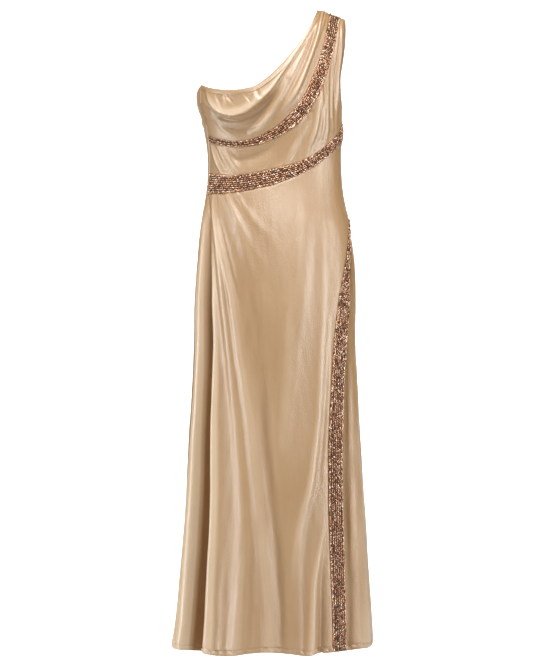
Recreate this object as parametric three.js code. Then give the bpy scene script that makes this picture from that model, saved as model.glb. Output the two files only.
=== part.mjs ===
// A floor-length satin evening gown with one shoulder, filled out as it is when worn, with nobody in it.
// Each piece that a maker would cut is one thin wall, laid on a common dress form and shaped by its folds.
// Sizes are in millimetres. The front faces -Y, and the strap is on the +X side.
//
// A place on the form is an angle and a level. The angle goes round the gown in degrees: 0 at the -X side,
// 90 at the front, 180 at the +X side and 270 at the back. The level is the height above the hem, and past
// SHOULDER_LEVEL - CAP it goes on round the curve of the shoulder, so that the shoulder seam is at SEAM_LEVEL.
import * as THREE from "three";

const SHOULDER_LEVEL = 1459; // top of the strap, at its neck side
const CAP = 60; // radius with which the strap goes over the shoulder
const SEAM_LEVEL = SHOULDER_LEVEL - CAP + (CAP * Math.PI) / 2;
const SHOULDER_SLOPE = 0.335; // how fast the shoulder falls away from the neck
const SLOPE_START = 1250; // level where the form begins to follow that slope
const NECK_POINT = 101; // distance of the strap's neck side from the middle of the body
const FULLNESS = 0.1; // how much squarer than an ellipse a section is

const SATIN = 1.5; // thickness of a satin wall
const BEADWORK = 2.4; // thickness of a beaded band, whose face stands proud of the satin
const SEAM_GAP = 0.6; // room between two pieces at a seam
const NECK_BAND_WIDTH = 8;
const UNDERLAP_DEPTH = 9; // how far the panel under the slit lies behind the front

const SATIN_FINISH = { color: "#d8bd9b", roughness: 0.4, metalness: 0.1 };
const BEAD_FINISH = { color: "#a9775a", roughness: 0.35, metalness: 0.6 };

const DEGREE = Math.PI / 180;
const MM_PER_DEGREE = 2.7; // arc of one degree on the form, near enough to space points evenly

const table = (columns, rows) =>
  rows.map((row) => Object.fromEntries(columns.map((name, i) => [name, row[i]])));

// Half widths and depths of the gown without its folds. centre is how far the section lies off the middle.
const SECTIONS = table(
  ["level", "centre", "half", "front", "back"],
  [
    [-30, -6, 233, 163, 172],
    [0, -6, 231, 160, 170],
    [70, -3.5, 224.5, 156, 165],
    [174, -2, 216, 152, 160],
    [277, 0, 209, 149, 155],
    [381, 0, 202, 146, 150],
    [484, -1, 197, 142, 146],
    [588, 0, 191, 139, 142],
    [691, 0, 186, 135, 138],
    [795, 1, 185, 131, 135],
    [898, 2.5, 179.5, 123, 129],
    [967, 1.5, 171.5, 113, 120],
    [1013, -1, 162, 104, 108],
    [1059, -1, 155, 96, 94],
    [1094, -1, 153, 93, 86],
    [1140, -2, 154, 97, 85],
    [1174, -2.5, 158.5, 104, 89],
    [1209, -7, 161, 112, 93],
    [1243, -12.5, 166.5, 118, 97],
    [1278, -12.5, 167.5, 117, 99],
    [1310, -10, 169, 112, 99],
    [1350, -6, 175, 103, 95],
    [1400, -2, 181, 90, 85],
    [1459, 0, 185, 80, 75],
    [1500, 0, 186, 75, 70],
  ],
);

// Edges of the pieces, as angle and level. Each runs from the -X side to the shoulder or the +X side.
const NECKLINE = [
  [21.4, 1278],
  [32, 1272],
  [43, 1267],
  [55.5, 1263],
  [67, 1264],
  [79, 1271],
  [87, 1285],
  [97, 1312],
  [105, 1342],
  [112, 1377],
  [117, 1410],
  [120.5, 1443],
  [122, SEAM_LEVEL],
];
const UPPER_BAND_TOP = [
  [17.5, 1169],
  [31, 1160],
  [44.5, 1154],
  [55, 1150],
  [66, 1152],
  [75, 1157],
  [83, 1167],
  [91.5, 1180],
  [101, 1200],
  [111, 1227],
  [118.5, 1254],
  [124, 1286],
  [128, 1321],
  [129.5, 1357],
  [130.5, 1398],
  [132, 1450],
  [132.5, SEAM_LEVEL],
];
const UPPER_BAND_FOOT_LOW = [
  [17, 1156],
  [30, 1148],
  [44, 1143],
  [55, 1139],
  [65.5, 1139],
  [74.5, 1142],
  [83, 1149],
  [93, 1160],
  [103, 1176],
  [114, 1199],
  [124, 1226],
  [131, 1254],
];
const UPPER_BAND_FOOT_HIGH = [
  [131, 1254],
  [137, 1292],
  [139.5, 1334],
  [140.2, 1378],
  [141, 1419],
  [143, 1462],
  [143.8, SEAM_LEVEL],
];
const WAIST_BAND_TOP = [
  [14.6, 1084],
  [36, 1078],
  [51, 1074],
  [64, 1075],
  [76, 1080],
  [88, 1087],
  [99.5, 1094],
  [109, 1101],
  [121.5, 1115],
  [134.5, 1133],
  [147, 1154],
  [157, 1172],
  [168, 1190],
  [174, 1198],
];
const WAIST_BAND_FOOT = [
  [17.4, 1037],
  [38.5, 1035],
  [52.5, 1036],
  [65, 1039],
  [76, 1045],
  [88, 1052],
  [99.5, 1064],
  [109, 1074],
  [121.5, 1091],
  [134.5, 1110],
  [149, 1130],
  [161, 1146],
  [168, 1156],
  [174, 1165],
];
const ARMHOLE_FRONT = [
  [174, 1222],
  [171, 1240],
  [167, 1268],
  [162, 1300],
  [156.5, 1334],
  [152, 1373],
  [150, 1412],
  [150.2, 1455],
  [151, SEAM_LEVEL],
];
const TRIM_INNER = [
  [173.2, 985],
  [161.5, 949],
  [154, 907],
  [147.5, 861],
  [142.3, 816],
  [137.6, 748],
  [134.6, 681],
  [131.6, 614],
  [128.8, 525],
  [127.2, 458],
  [126.2, 391],
  [125.2, 325],
  [125.2, 258],
  [125.6, 191],
  [125.9, 136],
  [125.7, 11],
];
const TRIM_OUTER = [
  [174, 984],
  [165.5, 940],
  [157.5, 885],
  [154.2, 816],
  [152.9, 748],
  [149.2, 681],
  [144.8, 613],
  [142, 524],
  [139.5, 455],
  [138.3, 390],
  [137.3, 323],
  [136.8, 256],
  [136.9, 189],
  [136.5, 133],
  [135.2, 11],
];
const LEFT_SEAM = [
  [21.4, 1278],
  [17.5, 1169],
  [14.6, 1084],
  [17.4, 1037],
  [26, 975],
  [34.4, 845],
  [36, 737],
  [37.2, 600],
  [38.5, 450],
  [40.3, 333],
  [41, 190],
  [42.5, 6],
];
const FRONT_HEM = [
  [42.5, 6],
  [49, 6],
  [56, 3],
  [66, 4],
  [78, 11],
  [88, 14],
  [99, 10],
  [111, 5],
  [118, 10],
  [125.7, 11],
];
const BACK_NECKLINE = [
  [238, SEAM_LEVEL],
  [240, 1440],
  [244, 1385],
  [252, 1325],
  [266, 1281],
  [285, 1256],
  [310, 1248],
  [340, 1256],
  [360, 1266],
  [381.4, 1278],
];
const ARMHOLE_BACK = [
  [209, SEAM_LEVEL],
  [206, 1440],
  [203, 1385],
  [199, 1334],
  [192, 1292],
  [183, 1250],
  [174, 1222],
];
const BACK_WAIST = [
  [174, 1180],
  [200, 1160],
  [235, 1120],
  [275, 1085],
  [315, 1067],
  [345, 1061],
  [375.6, 1060],
];
const UNDERLAP_EDGE = [
  [174, 985],
  [168.5, 950],
  [160, 915],
  [151, 880],
  [143, 816],
  [139, 748],
  [131, 613],
  [126, 524],
  [122, 390],
  [121, 256],
  [121, 133],
  [120, 8],
];
const BACK_HEM = [
  [120, 8],
  [150, 8],
  [170, 4],
  [190, 6],
  [225, 9],
  [255, 5],
  [285, 8],
  [315, 5],
  [340, 8],
  [362, 4],
  [385, 5],
  [402.5, 6],
];

// The large folds. A fold is a row of stations along its crest or trough: where it is, how far the cloth
// rises there, and how far the fold reaches to either side, first towards smaller angles or downwards.
// lean is the share of its rise by which the crest is pushed sideways, so that it hangs over the cloth
// on its near side.
const STATION = ["angle", "level", "rise", "near", "far"];
const fold = (name, rows, lean = 0) => ({ name, lean, stations: table(STATION, rows) });
const FOLDS = [
  fold("valley in the side", [
    [18, 1036, -1, 6, 5],
    [27, 984, -7, 10, 8],
    [34.4, 845, -16, 17, 11],
    [37, 700, -23, 21, 13],
    [38, 530, -30, 24, 14],
    [40.3, 333, -36, 27, 15],
    [41, 190, -40, 30, 16],
    [43, -30, -45, 33, 18],
  ]),
  fold(
    "edge of the front over the valley",
    [
      [26, 1010, 1, 5, 6],
      [34, 929, 4, 6, 8],
      [39.8, 818, 6, 7, 9],
      [42, 721, 8, 8, 11],
      [44.6, 614, 10, 9, 13],
      [46.6, 504, 11, 10, 14],
      [48, 335, 12, 11, 16],
      [48, 79, 14, 12, 18],
      [49, -30, 14, 12, 18],
    ],
    0.45,
  ),
  fold("flare at the side", [
    [13, 1000, 1, 12, 12],
    [21, 908, 4, 16, 14],
    [23, 700, 7, 20, 17],
    [24, 502, 9, 22, 19],
    [22.6, 329, 11, 25, 21],
    [21, -30, 13, 28, 24],
  ]),
  fold("second gather", [
    [31, 1012, 2, 5, 6],
    [41, 929, 5, 6, 8],
    [48.5, 818, 5, 7, 9],
    [53, 737, 5, 8, 10],
    [59, 614, 5, 9, 12],
    [64, 505, 5, 10, 13],
    [68, 364, 5, 13, 15],
    [70, 223, 6, 17, 18],
    [69, -30, 8, 22, 22],
  ]),
  fold("third gather", [
    [34, 1012, 2, 5, 6],
    [42, 954, 5, 7, 8],
    [50.6, 871, 6, 8, 10],
    [58, 790, 7, 9, 12],
    [64.5, 668, 7, 10, 14],
    [73.6, 506, 6, 12, 16],
    [78, 364, 6, 14, 18],
    [85.5, 168, 7, 17, 20],
    [89, -30, 8, 20, 22],
  ]),
  fold("fourth gather", [
    [50, 1024, 2, 6, 7],
    [57, 984, 4, 8, 10],
    [69, 886, 3, 11, 14],
    [84, 770, 1, 16, 20],
  ]),
  fold("soft ridge in the middle", [
    [113, 1010, 1, 14, 14],
    [110, 840, 4, 18, 18],
    [104, 660, 4, 20, 18],
    [98, 500, 2, 20, 18],
  ]),
  fold("ridge beside the slit", [
    [128.5, 984, 2, 12, 14],
    [127, 871, 3, 12, 14],
    [124, 703, 4, 11, 13],
    [120, 547, 5, 10, 12],
    [113, 392, 6, 9, 11],
    [106.5, 309, 5, 9, 11],
    [101, 190, 3, 12, 14],
    [99, -30, 2, 16, 18],
  ]),
  fold("low ridge beside the slit", [
    [121.5, 300, 1, 9, 9],
    [118, 237, 4, 10, 10],
    [113.5, 149, 6, 11, 10],
    [111, -30, 7, 12, 10],
  ]),
  fold("groove beside the trim", [
    [121.5, 260, -1, 8, 7],
    [119, 140, -4, 9, 8],
    [118, -30, -6, 10, 9],
  ]),
  fold(
    "cowl",
    [
      [33, 1257, 2, 5, 8],
      [37, 1247, 6, 6, 14],
      [41, 1233, 10, 7, 20],
      [47, 1220, 13, 8, 26],
      [55, 1212, 15, 9, 30],
      [62, 1211, 16, 9, 32],
      [70, 1217, 16, 9, 30],
      [79, 1232, 14, 8, 26],
      [88, 1252, 11, 7, 20],
      [94, 1273, 8, 7, 15],
      [99, 1295, 6, 6, 11],
      [106, 1326, 4, 6, 9],
      [113, 1370, 2, 6, 7],
    ],
    0.42,
  ),
  fold("hollow under the cowl", [
    [45, 1195, -2, 14, 8],
    [60, 1182, -5, 20, 10],
    [75, 1190, -5, 18, 10],
    [87, 1214, -4, 12, 9],
    [96, 1246, -3, 8, 7],
    [104, 1282, -2, 6, 6],
  ]),
  fold(
    "crease from the band to the shoulder",
    [
      [71, 1170, 3, 7, 6],
      [77, 1181, 7, 9, 7],
      [84, 1200, 8, 10, 8],
      [91, 1224, 7, 10, 8],
      [98, 1250, 6, 9, 8],
      [104, 1281, 5, 8, 7],
      [110, 1316, 4, 7, 6],
      [116, 1366, 2, 6, 6],
    ],
    0.2,
  ),
  fold("crease above the band", [
    [97, 1206, 2, 9, 8],
    [107, 1246, 4, 9, 8],
    [114, 1281, 4, 8, 8],
    [119, 1326, 3, 7, 7],
    [123, 1380, 2, 6, 6],
  ]),
  fold("bodice pleat at the armhole", [
    [147, 1420, 1, 6, 6],
    [150, 1340, 4, 8, 8],
    [155, 1260, 4, 9, 9],
    [152, 1190, 2, 9, 9],
  ]),
  fold("bodice pleat below the band", [
    [133, 1278, 2, 6, 7],
    [136, 1240, 5, 8, 8],
    [134, 1190, 4, 9, 9],
    [130, 1150, 1, 9, 9],
  ]),
  fold("groove below the band", [
    [127, 1258, -2, 5, 6],
    [122, 1216, -4, 7, 7],
    [115, 1182, -3, 7, 7],
    [110, 1150, -1, 7, 7],
  ]),
  fold("waist crease at the side", [
    [26, 1144, 1, 5, 5],
    [31, 1115, 3, 6, 6],
    [37, 1086, 1, 6, 6],
  ]),
  fold("waist crease", [
    [42, 1139, 1, 6, 6],
    [50, 1112, 3, 7, 7],
    [59, 1082, 1, 7, 7],
  ]),
  fold("back flute at the side", [
    [340, 1000, 1, 20, 20],
    [337, 700, 6, 26, 26],
    [333, 350, 13, 32, 32],
    [331, -30, 20, 36, 36],
  ]),
  fold("back hollow", [
    [318, 950, -1, 20, 20],
    [316, 600, -6, 26, 26],
    [312, 300, -12, 30, 30],
    [310, -30, -18, 34, 34],
  ]),
  fold("back flute left of the middle", [
    [292, 980, 1, 20, 20],
    [291, 600, 6, 28, 28],
    [290, 300, 11, 34, 34],
    [289, -30, 18, 38, 38],
  ]),
  fold("middle back hollow", [
    [268, 940, -1, 20, 20],
    [268, 600, -5, 28, 28],
    [268, 300, -10, 32, 32],
    [268, -30, -16, 36, 36],
  ]),
  fold("back flute right of the middle", [
    [246, 980, 1, 20, 20],
    [246, 600, 6, 28, 28],
    [246, 300, 11, 32, 32],
    [246, -30, 17, 36, 36],
  ]),
  fold("right back hollow", [
    [222, 960, -1, 20, 20],
    [223, 600, -5, 26, 26],
    [224, 300, -9, 30, 30],
    [224, -30, -14, 34, 34],
  ]),
  fold("flute behind the slit", [
    [200, 960, 1, 20, 20],
    [199, 600, 5, 26, 26],
    [198, 300, 9, 30, 30],
    [198, -30, 14, 34, 34],
  ]),
];

// A curve through points (x, y) with x rising, as a function of x.
function smoothCurve(xs, ys) {
  const step = (i) => (ys[i + 1] - ys[i]) / (xs[i + 1] - xs[i]);
  const last = xs.length - 1;
  const slope = xs.map((x, i) => {
    if (i === 0) return step(0);
    if (i === last) return step(last - 1);
    const before = x - xs[i - 1];
    const after = xs[i + 1] - x;
    return (after * step(i - 1) + before * step(i)) / (before + after);
  });
  return (at) => {
    const x = Math.min(Math.max(at, xs[0]), xs[last]);
    let i = 0;
    while (i < last - 1 && x > xs[i + 1]) i++;
    const h = xs[i + 1] - xs[i];
    const u = (x - xs[i]) / h;
    const v = 1 - u;
    return (
      v * v * (1 + 2 * u) * ys[i] +
      u * v * v * h * slope[i] +
      u * u * (3 - 2 * u) * ys[i + 1] -
      u * u * v * h * slope[i + 1]
    );
  };
}

const smoothStep = (value) => {
  const u = Math.min(Math.max(value, 0), 1);
  return u * u * (3 - 2 * u);
};

const column = (rows, name) => rows.map((row) => row[name]);
const section = Object.fromEntries(
  ["centre", "half", "front", "back"].map((name) => [
    name,
    smoothCurve(column(SECTIONS, "level"), column(SECTIONS, name)),
  ]),
);

// The point of the plain form at an angle and level.
function formPoint(angle, level) {
  const turn = Math.max(level - (SHOULDER_LEVEL - CAP), 0) / CAP;
  const height = Math.min(level, SHOULDER_LEVEL - CAP) + CAP * Math.sin(turn);
  const across = Math.cos(angle * DEGREE);
  const forward = Math.sin(angle * DEGREE);
  const depth = (forward >= 0 ? section.front : section.back)(height) * Math.cos(turn);
  const x = section.centre(height) - section.half(height) * across;
  const y = -depth * forward * (1 + FULLNESS * across * across);
  const along = (height - SLOPE_START) / (SHOULDER_LEVEL - SLOPE_START);
  const z = height - SHOULDER_SLOPE * smoothStep(along) * (x - NECK_POINT);
  return new THREE.Vector3(x, y, z);
}

// The outward normal of a surface that is given as a function of angle and level.
function surfaceNormal(surface, angle, level) {
  const dAngle = 0.1;
  const dLevel = 0.3;
  const across = surface(angle + dAngle, level).sub(surface(angle - dAngle, level));
  const up = surface(angle, level + dLevel).sub(surface(angle, level - dLevel));
  return across.cross(up).normalize();
}

// Points along a curve of (angle, level) places, at even spacing or at the given shares of its length.
function alongEdge(places, shares) {
  const knots = [0];
  for (let i = 1; i < places.length; i++) {
    const [a, b] = [places[i - 1], places[i]];
    knots.push(knots[i - 1] + Math.hypot((b[0] - a[0]) * MM_PER_DEGREE, b[1] - a[1]));
  }
  const angle = smoothCurve(
    knots,
    places.map((p) => p[0]),
  );
  const level = smoothCurve(
    knots,
    places.map((p) => p[1]),
  );
  return shares.map((share) => {
    const at = share * knots.at(-1);
    return [angle(at), level(at)];
  });
}

const evenShares = (count) => Array.from({ length: count + 1 }, (_, i) => i / count);

// A fold as a fine line of points on the form, each with its own rise and reach.
const STEPS_PER_STATION = 6;
function foldLine({ stations, lean }) {
  const index = stations.map((_, i) => i);
  const value = Object.fromEntries(
    STATION.map((name) => [name, smoothCurve(index, column(stations, name))]),
  );
  const points = evenShares((stations.length - 1) * STEPS_PER_STATION).map((share) => {
    const at = share * (stations.length - 1);
    const angle = value.angle(at);
    const level = value.level(at);
    return {
      place: formPoint(angle, level),
      normal: surfaceNormal(formPoint, angle, level),
      rise: value.rise(at),
      near: value.near(at),
      far: value.far(at),
    };
  });
  const box = new THREE.Box3().setFromPoints(points.map((p) => p.place));
  const reach = 3 * Math.max(...points.flatMap((p) => [p.near, p.far]));
  return { points, lean, box: box.expandByScalar(reach) };
}
const FOLD_LINES = FOLDS.map(foldLine);

// How a fold moves the cloth at a point of the form: along the form's normal, and sideways by its lean.
function foldShift(line, place) {
  const shift = new THREE.Vector3();
  if (!line.box.containsPoint(place)) return shift;
  let nearest = Infinity;
  let found = null;
  for (let i = 0; i + 1 < line.points.length; i++) {
    const [a, b] = [line.points[i], line.points[i + 1]];
    const run = b.place.clone().sub(a.place);
    const from = place.clone().sub(a.place);
    const share = THREE.MathUtils.clamp(from.dot(run) / run.lengthSq(), 0, 1);
    const offset = from.addScaledVector(run, -share);
    if (offset.lengthSq() < nearest) {
      nearest = offset.lengthSq();
      found = { a, b, share, run, offset };
    }
  }
  const { a, b, share, run, offset } = found;
  const blend = (name) => a[name] + (b[name] - a[name]) * share;
  const sideways = a.normal.clone().cross(run).normalize();
  const side = sideways.dot(offset);
  const breadth = blend(side < 0 ? "near" : "far");
  const rise = blend("rise") * Math.exp(-nearest / (breadth * breadth));
  shift.addScaledVector(a.normal, rise);
  return shift.addScaledVector(sideways, -line.lean * rise);
}

const trimOuterAngle = smoothCurve(
  TRIM_OUTER.map((p) => -p[1]),
  TRIM_OUTER.map((p) => p[0]),
);
// The depth by which the panel under the slit lies behind the front, easing out round the side.
function underlapDepth(angle, level) {
  const down = smoothStep((1000 - level) / 110);
  const round = smoothStep((trimOuterAngle(-level) + 28 - angle) / 22);
  return UNDERLAP_DEPTH * down * round;
}

// The middle surface of the cloth. inset is a function that gives a depth behind it.
const clothSurface = (inset) => (angle, level) => {
  const place = formPoint(angle, level);
  const moved = place.clone();
  FOLD_LINES.forEach((line) => moved.add(foldShift(line, place)));
  if (inset) moved.addScaledVector(surfaceNormal(formPoint, angle, level), -inset(angle, level));
  return moved;
};

const LEFT_SEAM_LEVELS = LEFT_SEAM.map((p) => -p[1]);
const leftSeamAngle = smoothCurve(
  LEFT_SEAM_LEVELS,
  LEFT_SEAM.map((p) => p[0]),
);
// Puts the places at one end of each row on the left side seam.
function onLeftSeam(grid, { end = 0, turn = 0 } = {}) {
  grid.forEach((row) => {
    const level = row.at(end)[1];
    row.splice(end === 0 ? 0 : row.length - 1, 1, [leftSeamAngle(-level) + turn, level]);
  });
  return grid;
}

// A grid of (angle, level) places ruled between an upper and a lower edge with as many points each.
const ruled = (upper, lower, rows) =>
  evenShares(rows).map((t) =>
    upper.map(([angle, level], i) => [
      angle + (lower[i][0] - angle) * t,
      level + (lower[i][1] - level) * t,
    ]),
  );

// A grid of places that fills four edges. top and foot run across, left and right run down.
function filled(top, foot, left, right) {
  const [nx, ny] = [top.length - 1, left.length - 1];
  return left.map((_, row) =>
    top.map((__, col) => {
      const [u, v] = [row / ny, col / nx];
      return [0, 1].map(
        (k) =>
          (1 - u) * top[col][k] +
          u * foot[col][k] +
          (1 - v) * left[row][k] +
          v * right[row][k] -
          (1 - u) * ((1 - v) * top[0][k] + v * top[nx][k]) -
          u * ((1 - v) * foot[0][k] + v * foot[nx][k]),
      );
    }),
  );
}

// Draws the outer points of a grid in by half the seam gap, along the grid's own lines.
function trimmed(points) {
  const [ny, nx] = [points.length - 1, points[0].length - 1];
  const drawIn = (edge, inner) => {
    const way = inner.clone().sub(edge);
    return edge.addScaledVector(way.normalize(), SEAM_GAP / 2);
  };
  points.forEach((row) => {
    drawIn(row[0], row[1]);
    drawIn(row[nx], row[nx - 1]);
  });
  points[0].forEach((p, i) => drawIn(p, points[1][i]));
  points[ny].forEach((p, i) => drawIn(p, points[ny - 1][i]));
  return points;
}

// A closed wall over a grid of places. proud moves its middle outwards.
function wall(name, finish, grid, { thickness = SATIN, proud = 0, inset = null } = {}) {
  const surface = clothSurface(inset);
  const middle = trimmed(grid.map((row) => row.map(([a, l]) => surface(a, l))));
  const normals = grid.map((row) => row.map(([a, l]) => surfaceNormal(surface, a, l)));
  const [rows, cols] = [grid.length, grid[0].length];
  const face = (offset) =>
    middle.flatMap((row, r) => row.map((p, c) => p.clone().addScaledVector(normals[r][c], offset)));
  const outer = face(proud + thickness / 2);
  const inner = face(proud - thickness / 2);
  const at = (r, c) => r * cols + c;
  const index = [];
  const quad = (a, b, c, d) => index.push(a, b, c, a, c, d);
  for (let r = 0; r + 1 < rows; r++) {
    for (let c = 0; c + 1 < cols; c++) {
      const corners = [at(r, c), at(r + 1, c), at(r + 1, c + 1), at(r, c + 1)];
      quad(...corners);
      quad(...corners.map((i) => i + outer.length).reverse());
    }
  }
  const rim = [];
  for (let r = 0; r + 1 < rows; r++) rim.push(at(r, 0));
  for (let c = 0; c + 1 < cols; c++) rim.push(at(rows - 1, c));
  for (let r = rows - 1; r > 0; r--) rim.push(at(r, cols - 1));
  for (let c = cols - 1; c > 0; c--) rim.push(at(0, c));
  rim.forEach((a, i) => {
    const b = rim[(i + 1) % rim.length];
    quad(b, a, a + outer.length, b + outer.length);
  });
  const geometry = new THREE.BufferGeometry();
  const positions = [...outer, ...inner].flatMap((p) => p.toArray());
  geometry.setAttribute("position", new THREE.Float32BufferAttribute(positions, 3));
  geometry.setIndex(index);
  geometry.computeVertexNormals();
  const mesh = new THREE.Mesh(geometry, new THREE.MeshStandardMaterial(finish));
  mesh.name = name;
  return mesh;
}

// Columns that the cowl, the upper band and the front of the bodice share, so that their seams match.
const LOW_COLUMNS = 24;
const HIGH_COLUMNS = 13;
const bandFoot = [
  ...alongEdge(UPPER_BAND_FOOT_LOW, evenShares(LOW_COLUMNS)),
  ...alongEdge(UPPER_BAND_FOOT_HIGH, evenShares(HIGH_COLUMNS)).slice(1),
];
const bandShares = evenShares(LOW_COLUMNS + HIGH_COLUMNS);
const bandTop = alongEdge(UPPER_BAND_TOP, bandShares);
const neckline = alongEdge(NECKLINE, bandShares);
const cowlTop = neckline.map(([angle, level], i) => {
  const across = (bandTop[i][0] - angle) * MM_PER_DEGREE;
  const down = bandTop[i][1] - level;
  const share = NECK_BAND_WIDTH / Math.hypot(across, down);
  return [angle + (across / MM_PER_DEGREE) * share, level + down * share];
});
const waistTop = alongEdge(WAIST_BAND_TOP, evenShares(LOW_COLUMNS));
const waistFoot = alongEdge(WAIST_BAND_FOOT, evenShares(LOW_COLUMNS));

const beaded = { thickness: BEADWORK, proud: (BEADWORK - SATIN) / 2 };

const neckBand = () => wall("neck_band", SATIN_FINISH, onLeftSeam(ruled(neckline, cowlTop, 1)));

const cowlDrape = () => wall("cowl_drape", SATIN_FINISH, onLeftSeam(ruled(cowlTop, bandTop, 11)));

const upperBand = () =>
  wall("upper_band", BEAD_FINISH, onLeftSeam(ruled(bandTop, bandFoot, 2)), beaded);

const waistBand = () =>
  wall("waist_band", BEAD_FINISH, onLeftSeam(ruled(waistTop, waistFoot, 3)), beaded);

// The side seam under the arm runs straight down from the armhole to the top of the slit.
const SIDE_SEAM_STEPS = 2;
const straight = (from, to, steps) =>
  evenShares(steps).map((t) => [from[0] + (to[0] - from[0]) * t, from[1] + (to[1] - from[1]) * t]);

function bodiceFront() {
  const underarm = ARMHOLE_FRONT[0];
  const side = straight(waistTop.at(-1), underarm, SIDE_SEAM_STEPS).slice(1);
  const armhole = alongEdge(ARMHOLE_FRONT, evenShares(HIGH_COLUMNS - SIDE_SEAM_STEPS)).slice(1);
  const grid = ruled(bandFoot, [...waistTop, ...side, ...armhole], 8);
  return wall("bodice_front", SATIN_FINISH, onLeftSeam(grid));
}

function bodiceBack() {
  const armhole = alongEdge(ARMHOLE_BACK, evenShares(10));
  const side = straight(ARMHOLE_BACK.at(-1), BACK_WAIST[0], SIDE_SEAM_STEPS).slice(1);
  const waist = alongEdge(BACK_WAIST, evenShares(20)).slice(1);
  const edge = [...armhole, ...side, ...waist];
  const grid = ruled(alongEdge(BACK_NECKLINE, evenShares(edge.length - 1)), edge, 14);
  return wall("bodice_back", SATIN_FINISH, onLeftSeam(grid, { end: -1, turn: 360 }));
}

// The rows of both skirt panels: some down the side seam, then others down the slit.
const SEAM_ROWS = 5;
const SLIT_ROWS = 20;
const slitShares = evenShares(SLIT_ROWS).map((share) => 0.75 * share + 0.25 * share * share);
const trimInner = alongEdge(TRIM_INNER, slitShares);
const leftSeamPlaces = evenShares(SEAM_ROWS + SLIT_ROWS).map((share) => {
  const [top, hem] = [WAIST_BAND_FOOT[0][1], LEFT_SEAM.at(-1)[1]];
  const level = top + (hem - top) * (0.55 * share + 0.45 * share * share);
  return [leftSeamAngle(-level), level];
});
const rightSeamPlaces = (foot) => straight(WAIST_BAND_FOOT.at(-1), foot, SEAM_ROWS).slice(0, -1);

const SKIRT_COLUMNS = 42;
function skirtFront() {
  const across = evenShares(SKIRT_COLUMNS);
  const gathered = across.map((share) => 0.7 * share + 0.3 * share * share);
  const grid = filled(
    alongEdge(WAIST_BAND_FOOT, gathered),
    alongEdge(FRONT_HEM, across),
    leftSeamPlaces,
    [...rightSeamPlaces(TRIM_INNER[0]), ...trimInner],
  );
  return wall("skirt_front", SATIN_FINISH, grid);
}

function slitTrim() {
  const grid = ruled(alongEdge(TRIM_OUTER, slitShares), trimInner, 2);
  return wall("slit_trim", BEAD_FINISH, grid, beaded);
}

function skirtBack() {
  const across = evenShares(40);
  const underlap = alongEdge(UNDERLAP_EDGE, slitShares);
  const leftSeam = leftSeamPlaces.map(([angle, level]) => [angle + 360, level]);
  const grid = filled(
    alongEdge(BACK_WAIST, across),
    alongEdge(BACK_HEM, across),
    [BACK_WAIST[0], ...rightSeamPlaces(UNDERLAP_EDGE[0]), ...underlap],
    [BACK_WAIST.at(-1), ...leftSeam],
  );
  return wall("skirt_back", SATIN_FINISH, grid, { inset: underlapDepth });
}

// The part's origin is where the strap rests on the wearer's shoulder, under the middle of its seam.
const STRAP_MIDDLE_ANGLE = 136.5;
const restPoint = formPoint(STRAP_MIDDLE_ANGLE, SEAM_LEVEL);
restPoint.z -= SATIN / 2;

const gown = new THREE.Group();
gown.add(
  neckBand(),
  cowlDrape(),
  upperBand(),
  bodiceFront(),
  waistBand(),
  skirtFront(),
  slitTrim(),
  skirtBack(),
  bodiceBack(),
);
gown.position.copy(restPoint).negate();

export default gown;
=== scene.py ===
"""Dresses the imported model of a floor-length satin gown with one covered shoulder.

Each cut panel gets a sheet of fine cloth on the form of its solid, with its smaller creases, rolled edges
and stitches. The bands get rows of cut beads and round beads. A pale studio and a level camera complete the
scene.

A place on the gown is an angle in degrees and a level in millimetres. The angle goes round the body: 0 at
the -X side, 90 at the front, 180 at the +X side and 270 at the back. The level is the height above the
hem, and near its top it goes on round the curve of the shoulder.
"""

import logging
import math
from collections.abc import Callable, Sequence
from dataclasses import dataclass, field
from enum import Enum
from functools import cached_property

import bpy
import numpy as np
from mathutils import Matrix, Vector


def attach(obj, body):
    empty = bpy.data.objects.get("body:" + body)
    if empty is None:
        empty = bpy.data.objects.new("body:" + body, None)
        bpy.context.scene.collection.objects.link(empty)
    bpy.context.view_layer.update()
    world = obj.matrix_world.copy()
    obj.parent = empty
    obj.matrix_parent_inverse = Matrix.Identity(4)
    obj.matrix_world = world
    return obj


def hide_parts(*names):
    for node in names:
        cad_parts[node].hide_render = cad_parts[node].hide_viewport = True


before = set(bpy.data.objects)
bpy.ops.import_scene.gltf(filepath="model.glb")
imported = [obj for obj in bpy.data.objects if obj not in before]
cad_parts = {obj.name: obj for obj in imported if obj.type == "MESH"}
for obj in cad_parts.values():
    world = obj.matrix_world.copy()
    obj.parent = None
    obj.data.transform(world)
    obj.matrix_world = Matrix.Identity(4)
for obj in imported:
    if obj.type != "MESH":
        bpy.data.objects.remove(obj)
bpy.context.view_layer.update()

log = logging.getLogger("gown")

MM = 0.001
SATIN_WALL = 1.5
# A usual length of one degree round the body.
MM_PER_DEGREE = 2.7
# The top of the shoulder, the radius of its curve, and the level of the seam on that curve.
SHOULDER_LEVEL = 1459.0
CAP = 60.0
SEAM_LEVEL = SHOULDER_LEVEL - CAP + CAP * math.pi / 2
# How many of its breadths a fold reaches, and how many points it moves at a time.
FOLD_REACH = 3
BLOCK = 8000

# Places hold an angle and a level, and points an x, y and z, in their last axis.
Places = np.ndarray
Points = np.ndarray
Curve = Callable[[np.ndarray], np.ndarray]
Edge = Sequence[tuple[float, float]]
Rows = Sequence[Sequence[float]]
Triple = tuple[float, float, float]
Colour = Triple
Spot = Triple
Stops = Sequence[tuple[float, Colour]]

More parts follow.
